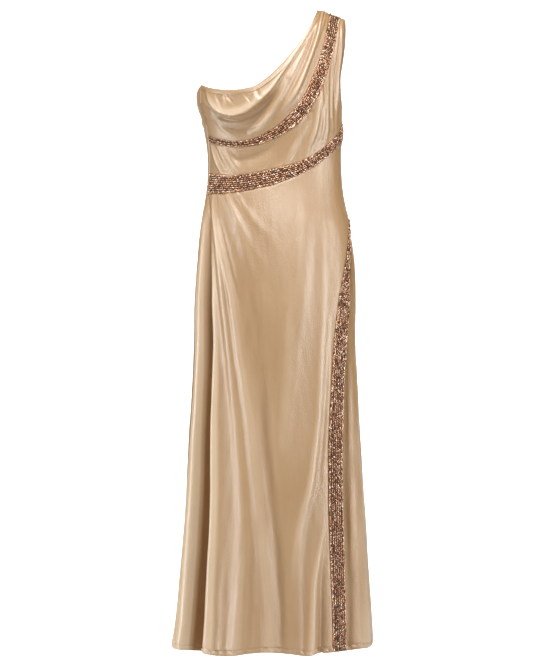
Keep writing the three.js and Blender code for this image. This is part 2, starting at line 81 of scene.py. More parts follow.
# Level, centre, half width, front depth and back depth of the plain form.
SECTIONS: Rows = (
    (-30, -6, 233, 163, 172), (0, -6, 231, 160, 170), (70, -3.5, 224.5, 156, 165),
    (174, -2, 216, 152, 160), (277, 0, 209, 149, 155), (381, 0, 202, 146, 150),
    (484, -1, 197, 142, 146), (588, 0, 191, 139, 142), (691, 0, 186, 135, 138),
    (795, 1, 185, 131, 135), (898, 2.5, 179.5, 123, 129), (967, 1.5, 171.5, 113, 120),
    (1013, -1, 162, 104, 108), (1059, -1, 155, 96, 94), (1094, -1, 153, 93, 86),
    (1140, -2, 154, 97, 85), (1174, -2.5, 158.5, 104, 89), (1209, -7, 161, 112, 93),
    (1243, -12.5, 166.5, 118, 97), (1278, -12.5, 167.5, 117, 99), (1310, -10, 169, 112, 99),
    (1350, -6, 175, 103, 95), (1400, -2, 181, 90, 85), (1459, 0, 185, 80, 75), (1500, 0, 186, 75, 70),
)

# Edges of the cut pieces, as angle and level, from the -X side to the shoulder or the +X side.
NECKLINE: Edge = (
    (21.4, 1278), (32, 1272), (43, 1267), (55.5, 1263), (67, 1264), (79, 1271), (87, 1285), (97, 1312),
    (105, 1342), (112, 1377), (117, 1410), (120.5, 1443), (122, SEAM_LEVEL),
)
UPPER_BAND_TOP: Edge = (
    (17.5, 1169), (31, 1160), (44.5, 1154), (55, 1150), (66, 1152), (75, 1157), (83, 1167),
    (91.5, 1180), (101, 1200), (111, 1227), (118.5, 1254), (124, 1286), (128, 1321), (129.5, 1357),
    (130.5, 1398), (132, 1450), (132.5, SEAM_LEVEL),
)
UPPER_BAND_FOOT_LOW: Edge = (
    (17, 1156), (30, 1148), (44, 1143), (55, 1139), (65.5, 1139), (74.5, 1142), (83, 1149), (93, 1160),
    (103, 1176), (114, 1199), (124, 1226), (131, 1254),
)
UPPER_BAND_FOOT_HIGH: Edge = (
    (131, 1254), (137, 1292), (139.5, 1334), (140.2, 1378), (141, 1419), (143, 1462),
    (143.8, SEAM_LEVEL),
)
WAIST_BAND_TOP: Edge = (
    (14.6, 1084), (36, 1078), (51, 1074), (64, 1075), (76, 1080), (88, 1087), (99.5, 1094),
    (109, 1101), (121.5, 1115), (134.5, 1133), (147, 1154), (157, 1172), (168, 1190), (174, 1198),
)
WAIST_BAND_FOOT: Edge = (
    (17.4, 1037), (38.5, 1035), (52.5, 1036), (65, 1039), (76, 1045), (88, 1052), (99.5, 1064),
    (109, 1074), (121.5, 1091), (134.5, 1110), (149, 1130), (161, 1146), (168, 1156), (174, 1165),
)
ARMHOLE_FRONT: Edge = (
    (174, 1222), (171, 1240), (167, 1268), (162, 1300), (156.5, 1334), (152, 1373), (150, 1412),
    (150.2, 1455), (151, SEAM_LEVEL),
)
TRIM_INNER: Edge = (
    (173.2, 985), (161.5, 949), (154, 907), (147.5, 861), (142.3, 816), (137.6, 748), (134.6, 681),
    (131.6, 614), (128.8, 525), (127.2, 458), (126.2, 391), (125.2, 325), (125.2, 258), (125.6, 191),
    (125.9, 136), (125.7, 11),
)
TRIM_OUTER: Edge = (
    (174, 984), (165.5, 940), (157.5, 885), (154.2, 816), (152.9, 748), (149.2, 681), (144.8, 613),
    (142, 524), (139.5, 455), (138.3, 390), (137.3, 323), (136.8, 256), (136.9, 189), (136.5, 133),
    (135.2, 11),
)
LEFT_SEAM: Edge = (
    (21.4, 1278), (17.5, 1169), (14.6, 1084), (17.4, 1037), (26, 975), (34.4, 845), (36, 737),
    (37.2, 600), (38.5, 450), (40.3, 333), (41, 190), (42.5, 6),
)
FRONT_HEM: Edge = (
    (42.5, 6), (49, 6), (56, 3), (66, 4), (78, 11), (88, 14), (99, 10), (111, 5), (118, 10),
    (125.7, 11),
)
BACK_NECKLINE: Edge = (
    (238, SEAM_LEVEL), (240, 1440), (244, 1385), (252, 1325), (266, 1281), (285, 1256), (310, 1248),
    (340, 1256), (360, 1266), (381.4, 1278),
)
ARMHOLE_BACK: Edge = (
    (209, SEAM_LEVEL), (206, 1440), (203, 1385), (199, 1334), (192, 1292), (183, 1250), (174, 1222),
)
BACK_WAIST: Edge = (
    (174, 1180), (200, 1160), (235, 1120), (275, 1085), (315, 1067), (345, 1061), (375.6, 1060),
)
UNDERLAP_EDGE: Edge = (
    (174, 985), (168.5, 950), (160, 915), (151, 880), (143, 816), (139, 748), (131, 613), (126, 524),
    (122, 390), (121, 256), (121, 133), (120, 8),
)
BACK_HEM: Edge = (
    (120, 8), (150, 8), (170, 4), (190, 6), (225, 9), (255, 5), (285, 8), (315, 5), (340, 8), (362, 4),
    (385, 5), (402.5, 6),
)


def smooth_curve(xs: Sequence[float], ys: Sequence[float]) -> Curve:
    """Makes a soft curve through points.

    Args:
        xs: Rising values to read the curve by.
        ys: The curve's value at each.

    Returns:
        A function from an array of x to the curve's values there.
    """
    x, y = np.asarray(xs, float), np.asarray(ys, float)
    slope = np.gradient(y, x)

    def read(at: np.ndarray) -> np.ndarray:
        """Reads the curve at each value of at."""
        q = np.clip(at, x[0], x[-1])
        i = np.clip(np.searchsorted(x, q, side="right") - 1, 0, len(x) - 2)
        h = x[i + 1] - x[i]
        u = (q - x[i]) / h
        v = 1 - u
        return (
            v * v * (1 + 2 * u) * y[i]
            + u * v * v * h * slope[i]
            + u * u * (3 - 2 * u) * y[i + 1]
            - u * u * v * h * slope[i + 1]
        )

    return read


def smooth_step(value: np.ndarray) -> np.ndarray:
    """Eases from 0 to 1 as value goes from 0 to 1."""
    u = np.clip(value, 0, 1)
    return u * u * (3 - 2 * u)


def bell(value: np.ndarray, middle: float, breadth: float) -> np.ndarray:
    """Rises to 1 where value is at the middle, and falls off on both sides."""
    return np.exp(-(((value - middle) / breadth) ** 2))


def spaced(shares: np.ndarray, start: float) -> np.ndarray:
    """Moves shares from 0 to 1 closer together at their start, to that share of their spacing."""
    return start * shares + (1 - start) * shares**2


def unit(vectors: np.ndarray) -> np.ndarray:
    """Gives each vector a length of 1."""
    return vectors / np.maximum(np.linalg.norm(vectors, axis=-1, keepdims=True), 1e-9)


def distances(points: Points, axis: int = 0) -> np.ndarray:
    """Measures how far the points of a line or grid are from its start, going along one axis."""
    steps = np.linalg.norm(np.diff(points, axis=axis), axis=-1)
    return np.pad(np.cumsum(steps, axis=axis), [(int(k == axis), 0) for k in range(steps.ndim)])


def along(edge: Edge, shares: np.ndarray) -> Places:
    """Finds places along an edge.

    Args:
        edge: The edge's points.
        shares: Shares of the edge's length, from 0 to 1.

    Returns:
        An angle and a level for each share.
    """
    e = np.asarray(edge, float)
    steps = np.hypot(np.diff(e[:, 0]) * MM_PER_DEGREE, np.diff(e[:, 1]))
    knots = np.concatenate([[0.0], np.cumsum(steps)])
    at = shares * knots[-1]
    return np.stack([smooth_curve(knots, e[:, k])(at) for k in (0, 1)], axis=-1)


def chained(parts: Sequence[tuple[Edge, int]], shares: np.ndarray) -> Places:
    """Finds places along edges that follow each other.

    Args:
        parts: Each edge, and how much of the whole it takes.
        shares: Shares of the whole, from 0 to 1.

    Returns:
        An angle and a level for each share.
    """
    ends = np.cumsum([0] + [part[1] for part in parts])
    at = shares * ends[-1]
    which = np.clip(np.searchsorted(ends, at, side="right") - 1, 0, len(parts) - 1)
    places = np.zeros((len(shares), 2))
    for i, (edge, size) in enumerate(parts):
        here = which == i
        places[here] = along(edge, np.clip((at[here] - ends[i]) / size, 0, 1))
    return places


def angle_by_level(edge: Edge, levels: np.ndarray) -> np.ndarray:
    """Reads the angle of an edge that runs downwards at each of the levels."""
    e = np.asarray(edge, float)
    return smooth_curve(-e[:, 1], e[:, 0])(-levels)


def left_seam(levels: np.ndarray, turn: float = 0.0) -> Places:
    """Finds the left side seam's places at the levels, turn degrees further round."""
    return np.stack([angle_by_level(LEFT_SEAM, levels) + turn, levels], axis=-1)


@dataclass(frozen=True)
class DressForm:
    """The plain form that all the cloth lies on, in millimetres with the floor at the hem."""

    slope: float = 0.335
    slope_start: float = 1250.0
    neck_point: float = 101.0
    fullness: float = 0.1
    strap_middle: float = 136.5

    @cached_property
    def curves(self) -> list[Curve]:
        """The centre, half width, front depth and back depth by level."""
        s = np.asarray(SECTIONS, float)
        return [smooth_curve(s[:, 0], s[:, k]) for k in (1, 2, 3, 4)]

    def point(self, places: Places) -> Points:
        """Finds the points of the plain form.

        Args:
            places: Angles and levels.

        Returns:
            A point for each place.
        """
        angle, level = np.radians(places[..., 0]), places[..., 1]
        flat = SHOULDER_LEVEL - CAP
        turn = np.maximum(level - flat, 0) / CAP
        height = np.minimum(level, flat) + CAP * np.sin(turn)
        across, forward = np.cos(angle), np.sin(angle)
        centre, half, front, back = (curve(height) for curve in self.curves)
        depth = np.where(forward >= 0, front, back) * np.cos(turn)
        x = centre - half * across
        y = -depth * forward * (1 + self.fullness * across**2)
        fall = smooth_step((height - self.slope_start) / (SHOULDER_LEVEL - self.slope_start))
        z = height - self.slope * fall * (x - self.neck_point)
        return np.stack([x, y, z], axis=-1)

    def normal(self, places: Places) -> Points:
        """Finds the form's outward normal at each of the places."""
        turn, rise = np.array([0.1, 0.0]), np.array([0.0, 0.3])
        across = self.point(places + turn) - self.point(places - turn)
        up = self.point(places + rise) - self.point(places - rise)
        return unit(np.cross(across, up))

    @cached_property
    def origin(self) -> Points:
        """The part's origin on the form: the strap's underside in the middle of its seam."""
        rest = self.point(np.array([self.strap_middle, SEAM_LEVEL]))
        return rest - np.array([0.0, 0.0, SATIN_WALL / 2])


@dataclass(frozen=True)
class Fold:
    """A fold of the cloth, as stations along its crest or trough.

    Each station is an angle, a level, how far the cloth rises there, and how far the fold reaches towards
    smaller angles or downwards, and then the other way, unless that is the same. lean is the share of the
    rise by which the crest hangs over the cloth on its near side.
    """

    name: str
    stations: Rows
    lean: float = 0.0
    steps: int = 6

    def shift(self, form: DressForm, points: Points) -> Points:
        """Works out how the fold moves the cloth.

        Args:
            form: The form that the fold lies on.
            points: Points of the plain form.

        Returns:
            The move of each point.
        """
        s = np.array([(*station, station[-1])[:5] for station in self.stations], float)
        index = np.arange(len(s))
        at = np.linspace(0, len(s) - 1, (len(s) - 1) * self.steps + 1)
        fine = np.stack([smooth_curve(index, s[:, k])(at) for k in range(5)], axis=-1)
        crest, normal = form.point(fine[:, :2]), form.normal(fine[:, :2])
        reach = FOLD_REACH * fine[:, 3:5].max()
        inside = np.all((points > crest.min(0) - reach) & (points < crest.max(0) + reach), axis=-1)
        moved = np.zeros_like(points)
        if not inside.any():
            return moved
        run = np.diff(crest, axis=0)
        moved[inside] = np.concatenate(
            [
                self._shift_block(block, crest, run, normal, fine)
                for block in np.array_split(points[inside], 1 + inside.sum() // BLOCK)
            ]
        )
        return moved

    def _shift_block(
        self, points: Points, crest: Points, run: Points, normal: Points, fine: np.ndarray
    ) -> Points:
        """Moves one block of points by the nearest stretch of the crest."""
        start = points[:, None, :] - crest[None, :-1, :]
        share = np.clip((start * run).sum(-1) / (run * run).sum(-1), 0, 1)
        offset = start - share[..., None] * run
        away = (offset * offset).sum(-1)
        near = away.argmin(axis=1)
        row = np.arange(len(points))
        share, offset, away = share[row, near, None], offset[row, near], away[row, near]
        value = fine[near] + (fine[near + 1] - fine[near]) * share
        sideways = unit(np.cross(normal[near], run[near]))
        side = (sideways * offset).sum(-1)
        breadth = np.where(side < 0, value[:, 3], value[:, 4])
        rise = (value[:, 2] * np.exp(-away / breadth**2))[:, None]
        return rise * normal[near] - self.lean * rise * sideways


# The large folds, which the solids have too. Two of them are a little softer here.
FOLDS = (
    Fold("valley in the side", (
        (18, 1036, -1, 6, 5), (27, 984, -7, 10, 8), (34.4, 845, -16, 17, 11), (37, 700, -23, 21, 13),
        (38, 530, -30, 24, 14), (40.3, 333, -36, 27, 15), (41, 190, -40, 30, 16), (43, -30, -45, 33, 18),
    )),
    Fold("edge of the front over the valley", (
        (26, 1010, 1, 5, 6), (34, 929, 4, 6, 8), (39.8, 818, 6, 7, 9), (42, 721, 8, 8, 11),
        (44.6, 614, 10, 9, 13), (46.6, 504, 11, 10, 14), (48, 335, 12, 11, 16), (48, 79, 14, 12, 18),
        (49, -30, 14, 12, 18),
    ), lean=0.45),
    Fold("flare at the side", (
        (13, 1000, 1, 12), (21, 908, 4, 16, 14), (23, 700, 7, 20, 17), (24, 502, 9, 22, 19),
        (22.6, 329, 11, 25, 21), (21, -30, 13, 28, 24),
    )),
    Fold("second gather", (
        (28.5, 1042, 1, 4, 5), (31, 1012, 2, 5, 6), (41, 929, 5, 6, 8), (48.5, 818, 5, 7, 9),
        (53, 737, 5, 8, 10), (59, 614, 5, 9, 12), (64, 505, 5, 10, 13), (68, 364, 5, 13, 15),
        (70, 223, 6, 17, 18), (69, -30, 8, 22),
    )),
    Fold("third gather", (
        (31, 1042, 1, 4, 5), (34, 1012, 2, 5, 6), (42, 954, 5, 7, 8), (50.6, 871, 6, 8, 10),
        (58, 790, 7, 9, 12), (64.5, 668, 7, 10, 14), (73.6, 506, 6, 12, 16), (78, 364, 6, 14, 18),
        (85.5, 168, 7, 17, 20), (89, -30, 8, 20, 22),
    )),
    Fold("fourth gather", (
        (47, 1046, 1, 5, 6), (50, 1024, 1.5, 7, 8), (57, 984, 2.6, 10, 12), (69, 886, 2.4, 13, 16),
        (84, 770, 1, 16, 20), (96, 680, 0, 18, 22),
    )),
    Fold("soft ridge in the middle", (
        (114, 1060, 0, 14), (113, 1010, 1, 14), (110, 840, 4, 18), (104, 660, 4, 20, 18),
        (98, 500, 2, 20, 18), (94, 400, 0, 22, 20),
    )),
    Fold("ridge beside the slit", (
        (129.5, 1080, 0, 14, 16), (128.5, 984, 1.4, 15), (127, 871, 2.8, 16, 14), (124, 703, 3.6, 15, 13),
        (120, 547, 4.6, 12), (113, 392, 6, 9, 11), (106.5, 309, 5, 9, 11), (101, 190, 3, 12, 14),
        (99, -30, 2, 16, 18),
    )),
    Fold("low ridge beside the slit", (
        (124, 370, 0, 9), (121.5, 300, 1, 9), (118, 237, 4, 10), (113.5, 149, 6, 11, 10),
        (111, -30, 7, 12, 10),
    )),
    Fold("groove beside the trim", ((121.5, 260, -1, 8, 7), (119, 140, -4, 9, 8), (118, -30, -6, 10, 9))),
    Fold("cowl", (
        (33, 1262, 2, 5, 8), (37, 1252, 6, 6, 12), (41, 1240, 10, 7, 16), (47, 1228, 13, 8, 20),
        (55, 1220, 15, 9, 22), (62, 1219, 16, 9, 24), (70, 1225, 16, 9, 24), (79, 1240, 14, 8, 22),
        (88, 1260, 11, 7, 18), (94, 1281, 8, 7, 14), (99, 1302, 6, 6, 11), (106, 1332, 4, 6, 9),
        (113, 1370, 2, 6, 7), (119, 1430, 0, 5, 6),
    ), lean=0.42),
    Fold("hollow under the cowl", (
        (45, 1195, -2, 14, 8), (60, 1182, -5, 20, 10), (75, 1190, -5, 18, 10), (87, 1214, -4, 12, 9),
        (96, 1246, -3, 8, 7), (104, 1282, -2, 6),
    )),
    Fold("crease from the band to the shoulder", (
        (71, 1170, 3, 7, 6), (77, 1181, 7, 9, 7), (84, 1200, 8, 10, 8), (91, 1224, 7, 10, 8),
        (98, 1250, 6, 9, 8), (104, 1281, 5, 8, 7), (110, 1316, 4, 7, 6), (116, 1366, 2, 6),
        (121, 1430, 0, 5),
    ), lean=0.2),
    Fold("crease above the band", (
        (97, 1206, 2, 9, 8), (107, 1246, 4, 9, 8), (114, 1281, 4, 8), (119, 1326, 3, 7), (123, 1380, 2, 6),
        (126, 1440, 0, 5),
    )),
    Fold("bodice pleat at the armhole", (
        (147, 1420, 1, 6), (150, 1340, 4, 8), (155, 1260, 4, 9), (152, 1190, 2, 9),
    )),
    Fold("bodice pleat below the band", (
        (133, 1278, 2, 6, 7), (136, 1240, 5, 8), (134, 1190, 4, 9), (130, 1150, 1, 9),
    )),
    Fold("groove below the band", (
        (127, 1258, -2, 5, 6), (122, 1216, -4, 7), (115, 1182, -3, 7), (110, 1150, -1, 7),
    )),
    Fold("waist crease at the side", ((26, 1144, 1, 5), (31, 1115, 3, 6), (37, 1086, 1, 6))),
    Fold("waist crease", ((42, 1139, 1, 6), (50, 1112, 3, 7), (59, 1082, 1, 7))),
    Fold("back flute at the side", (
        (340, 1000, 1, 20), (337, 700, 6, 26), (333, 350, 13, 32), (331, -30, 20, 36),
    )),
    Fold("back hollow", ((318, 950, -1, 20), (316, 600, -6, 26), (312, 300, -12, 30), (310, -30, -18, 34))),
    Fold("back flute left of the middle", (
        (292, 980, 1, 20), (291, 600, 6, 28), (290, 300, 11, 34), (289, -30, 18, 38),
    )),
    Fold("middle back hollow", (
        (268, 940, -1, 20), (268, 600, -5, 28), (268, 300, -10, 32), (268, -30, -16, 36),
    )),
    Fold("back flute right of the middle", (
        (246, 980, 1, 20), (246, 600, 6, 28), (246, 300, 11, 32), (246, -30, 17, 36),
    )),
    Fold("right back hollow", (
        (222, 960, -1, 20), (223, 600, -5, 26), (224, 300, -9, 30), (224, -30, -14, 34),
    )),
    Fold("flute behind the slit", (
        (200, 960, 1, 20), (199, 600, 5, 26), (198, 300, 9, 30), (198, -30, 14, 34),
    )),
)

# Finer creases, which only the cloth has.
CREASES = (
    Fold("lip of the cowl", (
        (33, 1262, 1, 2.5, 4), (41, 1241, 2, 2.5, 5), (47, 1228, 3, 2.5, 6), (55, 1221, 3.6, 2.5, 7),
        (62, 1220, 4, 2.5, 7), (70, 1226, 4, 2.5, 7), (79, 1241, 3.4, 2.5, 6), (88, 1261, 2.8, 2.5, 6),
        (94, 1282, 2.2, 2.5, 5), (99, 1303, 1.6, 2.5, 4), (106, 1333, 1, 2.5, 4), (112, 1366, 0, 2.5, 4),
    ), lean=0.5),
    Fold("second cowl crease", (
        (27, 1240, 0.6, 4, 5), (38, 1222, 1.4, 4, 5), (42, 1198, 2, 4, 6), (49, 1190, 2.2, 4, 7),
        (62, 1184, 2.4, 4, 7), (76, 1188, 2.4, 4, 7), (86, 1203, 2, 4, 6), (94, 1228, 1.6, 4, 5),
        (100, 1260, 1, 4, 5), (105, 1292, 0, 4, 5),
    ), lean=0.3),
    Fold("shade under the lip", (
        (34, 1226, 0, 3), (40, 1211, -1.6, 4), (49, 1200, -2.8, 4, 5), (61, 1196, -3.2, 4, 5),
        (72, 1202, -3, 4, 5), (83, 1219, -2.4, 4, 5), (92, 1241, -1.6, 4), (101, 1274, 0, 4),
    )),
    Fold("third cowl crease", (
        (20, 1216, 0.8, 4, 5), (35, 1205, 1.6, 5, 6), (43, 1181, 2, 5, 7), (53, 1166, 1.6, 6, 7),
        (62, 1157, 0.6, 6, 7),
    ), lean=0.2),
    Fold("crease up to the shoulder", (
        (99, 1217, 1.2, 4, 5), (107, 1246, 3.1, 5), (113, 1280, 3.8, 5), (118, 1324, 3.1, 4, 5),
        (121, 1371, 2.5, 4), (123, 1425, 1.2, 4), (125, 1465, 0, 4),
    )),
    Fold("shoulder gather, first", (
        (110, 1250, 0.8, 4), (117, 1300, 3.4, 4), (121, 1350, 3.7, 3.5, 4), (124, 1410, 3.4, 3.5),
        (125.5, 1480, 2.7, 3.5),
    )),
    Fold("shoulder gather, second", (
        (118, 1330, 0.8, 3), (122, 1385, 3.1, 3), (124.5, 1440, 3.4, 3), (128, 1490, 2.7, 3),
    )),
    Fold("shoulder gather, third", (
        (123, 1360, 0.8, 3), (126, 1410, 2.7, 3), (129, 1460, 2.7, 3), (130.5, 1490, 2, 3),
    )),
    Fold("neckline tuck, first", (
        (45, 1257, -0.66, 2.5), (48, 1247, -2.5, 3, 2.4), (52, 1235, -1.3, 3, 2), (54, 1226, 0, 3),
    )),
    Fold("neckline tuck, second", ((51.2, 1257, 0.66, 2), (52.4, 1246, 2.3, 2), (54.5, 1233, 0.66, 2.5))),
    Fold("neckline tuck, third", (
        (54.8, 1256, -0.82, 2, 2.4), (57.6, 1247, -3, 2.4, 3.4), (62, 1238, -0.98, 2.4, 3.4),
        (66, 1231, 0, 3),
    )),
    Fold("neckline tuck, fourth", (
        (71, 1254, -0.82, 2), (73.5, 1246, -2.5, 2, 2.4), (76, 1239, -0.33, 2.4),
    )),
    Fold("neckline tuck, fifth", ((76.6, 1259, 0.66, 2), (78.4, 1250, 2.1, 2), (81, 1242, 0.33, 2.4))),
    Fold("neckline tuck, sixth", (
        (79.6, 1264, -0.82, 2), (81.2, 1255, -2.6, 2.2, 2), (82.6, 1247, -0.33, 2.4),
    )),
    Fold("midriff crease, first", (
        (20, 1160, 1.2, 3, 4), (26, 1132, 3.4, 4, 5), (33, 1102, 3, 5, 6), (40, 1078, 1, 5, 6),
    )),
    Fold("midriff crease, second", (
        (31, 1150, 0.6, 4, 5), (38, 1124, 2.6, 4, 6), (45, 1100, 2.2, 5, 7), (53, 1078, 0.4, 7, 8),
    )),
    Fold("bodice fall, first", (
        (133.5, 1270, 0.8, 3.5, 4), (131, 1235, 3.6, 4), (127.5, 1195, 3.6, 4, 5), (123, 1150, 1.5, 5),
    )),
    Fold("bodice fall, second", (
        (139.5, 1330, 0.9, 3, 3.5), (141.5, 1262, 3.3, 3.5, 4), (141, 1205, 3.3, 4), (138, 1150, 1.5, 4),
    )),
    Fold("bodice fall, third", (
        (142.5, 1420, 1.5, 3), (144, 1350, 3.3, 3, 3.5), (147.5, 1280, 3, 3.5, 4), (147, 1205, 1.8, 4),
    )),
    Fold("bodice fall, fourth", (
        (146.5, 1470, 1.5, 2.5, 3), (146, 1410, 3, 3), (150, 1340, 2.7, 3, 3.5), (156, 1270, 2.1, 4),
        (160, 1215, 0.9, 4),
    )),
    Fold("bodice groove, first", (
        (136.5, 1300, -0.8, 3), (137, 1250, -3, 3.5), (133.5, 1200, -3, 4), (129, 1150, -0.9, 4),
    )),
    Fold("bodice groove, second", (
        (146, 1330, -0.8, 3), (151, 1262, -3, 3.5), (152, 1215, -2.4, 4), (150, 1172, -0.9, 4),
    )),
    Fold("waist gather, first", (
        (22, 1042, 1.2, 2, 2.5), (26, 1000, 2.6, 2.5, 3), (31, 945, 2.6, 3, 3.5), (36, 880, 2, 3.5, 4),
        (41, 790, 1.2, 4, 5), (44, 690, 0, 5, 6),
    )),
    Fold("waist gather, second", (
        (27, 1044, 1.2, 2, 2.5), (32, 1000, 2.6, 2.5, 3.5), (39, 945, 2.4, 3, 4), (46, 870, 2, 4, 5),
        (53, 780, 1.6, 5, 6), (58, 670, 1.2, 6, 7), (63, 560, 0, 7, 8),
    )),
    Fold("waist gather, third", (
        (35, 1046, 0.82, 2.5, 3), (40, 1010, 1.6, 3, 4), (48, 960, 1.5, 4, 5), (57, 895, 1.2, 6, 7),
        (65, 815, 0.82, 8, 9), (72, 710, 0, 10, 11),
    )),
    Fold("waist gather, fourth", (
        (43, 1048, 0.82, 3, 3.5), (50, 1016, 1.6, 4, 5), (60, 974, 1.4, 6, 7), (71, 920, 0.95, 9, 10),
        (84, 850, 0.41, 12, 13), (96, 770, 0, 15, 16),
    )),
    Fold("waist gather, fifth", (
        (54, 1046, 0.82, 4), (62, 1014, 1.5, 5, 6), (73, 972, 1.2, 7, 9), (86, 930, 0.54, 11, 13),
        (100, 880, 0, 14, 16),
    )),
    Fold("long crease in the front", (
        (92, 900, 0.5, 9, 10), (97, 760, 1.6, 10, 12), (99, 620, 1.4, 10, 12), (96, 470, 0.5, 10, 12),
    )),
    Fold("long hollow in the front", (
        (82, 640, -0.5, 12), (84, 480, -2.5, 14), (90, 300, -3, 15), (94, 120, -3, 16), (96, -10, -2, 16),
    )),
    Fold("crease beside the slit", (
        (133, 760, 0.6, 5), (130, 640, 2, 6), (126, 500, 2.4, 6), (122, 400, 1, 6),
    )),
    Fold("crease above the hem, first", ((57, 260, 0, 8), (59, 120, 1.2, 9), (60, 0, 2.2, 9))),
    Fold("crease above the hem, second", ((77, 300, 0, 8, 9), (80, 130, 1.6, 10), (79, 0, 2.6, 10))),
    Fold("crease above the hem, third", ((105, 330, 0, 7), (104, 160, 1.8, 8), (105, 0, 2.8, 9))),
    Fold("left side crease", ((10, 1000, 0.5, 6), (12, 900, 2, 8), (10, 760, 1, 9))),
    Fold("left side hollow", (
        (8, 860, -0.6, 10), (9, 640, -3, 13, 12), (10, 380, -4, 15, 14), (11, 0, -5, 17, 16),
    )),
    Fold("right side crease", (
        (163, 830, 0.4, 8), (161, 640, 1, 10), (157, 420, 1.2, 12), (153, 200, 0.8, 14),
    )),
    Fold("right side hollow", (
        (176, 760, -0.4, 12), (174, 520, -1.4, 14), (171, 260, -2, 16), (170, 0, -2.4, 18),
    )),
    Fold("back waist crease, left", ((330, 1060, 0.8, 5), (322, 1010, 2.2, 6), (312, 950, 1, 9))),
    Fold("back waist crease, right", ((222, 1130, 0.8, 5), (230, 1075, 2.2, 6), (240, 1010, 1, 9))),
    Fold("back bodice crease, left", (
        (372, 1210, 1, 4), (350, 1196, 2.6, 5), (325, 1170, 2, 6), (305, 1140, 0.6, 7),
    )),
    Fold("back bodice crease, middle", (
        (246, 1370, 1, 4), (252, 1290, 2.6, 5), (262, 1220, 2.2, 6), (272, 1150, 0.6, 7),
    )),
    Fold("back bodice crease, right", (
        (214, 1440, 0.8, 4), (218, 1350, 2.4, 5), (226, 1260, 2.2, 6), (238, 1180, 0.8, 7),
    )),
    Fold("fold of the valley under the front", (
        (22, 1030, -1, 3), (29, 960, -4, 4), (36.5, 845, -7, 5), (40.5, 700, -10, 6),
        (42.5, 530, -12, 7, 6), (44, 333, -13, 8, 6), (45, 190, -14, 8, 7), (46.5, 0, -15, 9, 7),
    )),
    Fold("roundness of the side flare", (
        (17, 1000, 0, 5, 4), (23, 880, 3, 8, 5), (27, 700, 6, 11, 7), (28.5, 504, 9, 13, 8),
        (29, 333, 10, 14, 9), (29.5, 190, 11, 15, 10), (30, 0, 12, 16, 11),
    )),
    Fold("midriff swell, first", (
        (97, 1070, 0, 5, 6), (101, 1100, 2.6, 5, 6), (106, 1130, 4, 5, 6), (111.5, 1160, 4, 5, 6),
        (118, 1192, 2.4, 5, 6), (123, 1215, 0, 5, 6),
    )),
    Fold("midriff swell, second", (
        (114, 1085, 0, 4, 5), (119, 1128, 3.4, 4.5, 5), (122.5, 1156, 3.8, 4.5, 5), (127, 1190, 2.4, 4, 5),
        (131, 1218, 0, 4, 5),
    )),
    Fold("midriff hollow", (
        (44, 1124, 0, 8, 10), (56, 1112, -3.4, 12, 14), (70, 1116, -4.6, 15), (84, 1132, -3.6, 13),
        (94, 1158, 0, 9),
    )),
    Fold("broad crease down the front", (
        (114, 1030, 0, 9, 12), (106, 882, 2.2, 11, 14), (100.5, 770, 3, 12, 15), (96.5, 659, 2.8, 12, 15),
        (94, 526, 1.6, 12, 15), (93, 420, 0, 12, 14),
    )),
    Fold("hollow in the middle of the front", (
        (70, 985, 0, 12), (74, 860, -1.6, 17, 16), (79, 725, -2.4, 20, 18), (84, 570, -2.4, 20, 18),
        (90, 400, -1.6, 18, 16), (96, 300, 0, 16, 15),
    )),
    Fold("hollow behind the slit", (
        (160, 850, 0, 6, 8), (158, 725, -1.4, 9, 11), (154, 523, -2.4, 12, 15), (150, 343, -3, 14, 18),
        (147, 165, -3.4, 15, 20), (145, 20, -3.6, 16, 20),
    )),
)


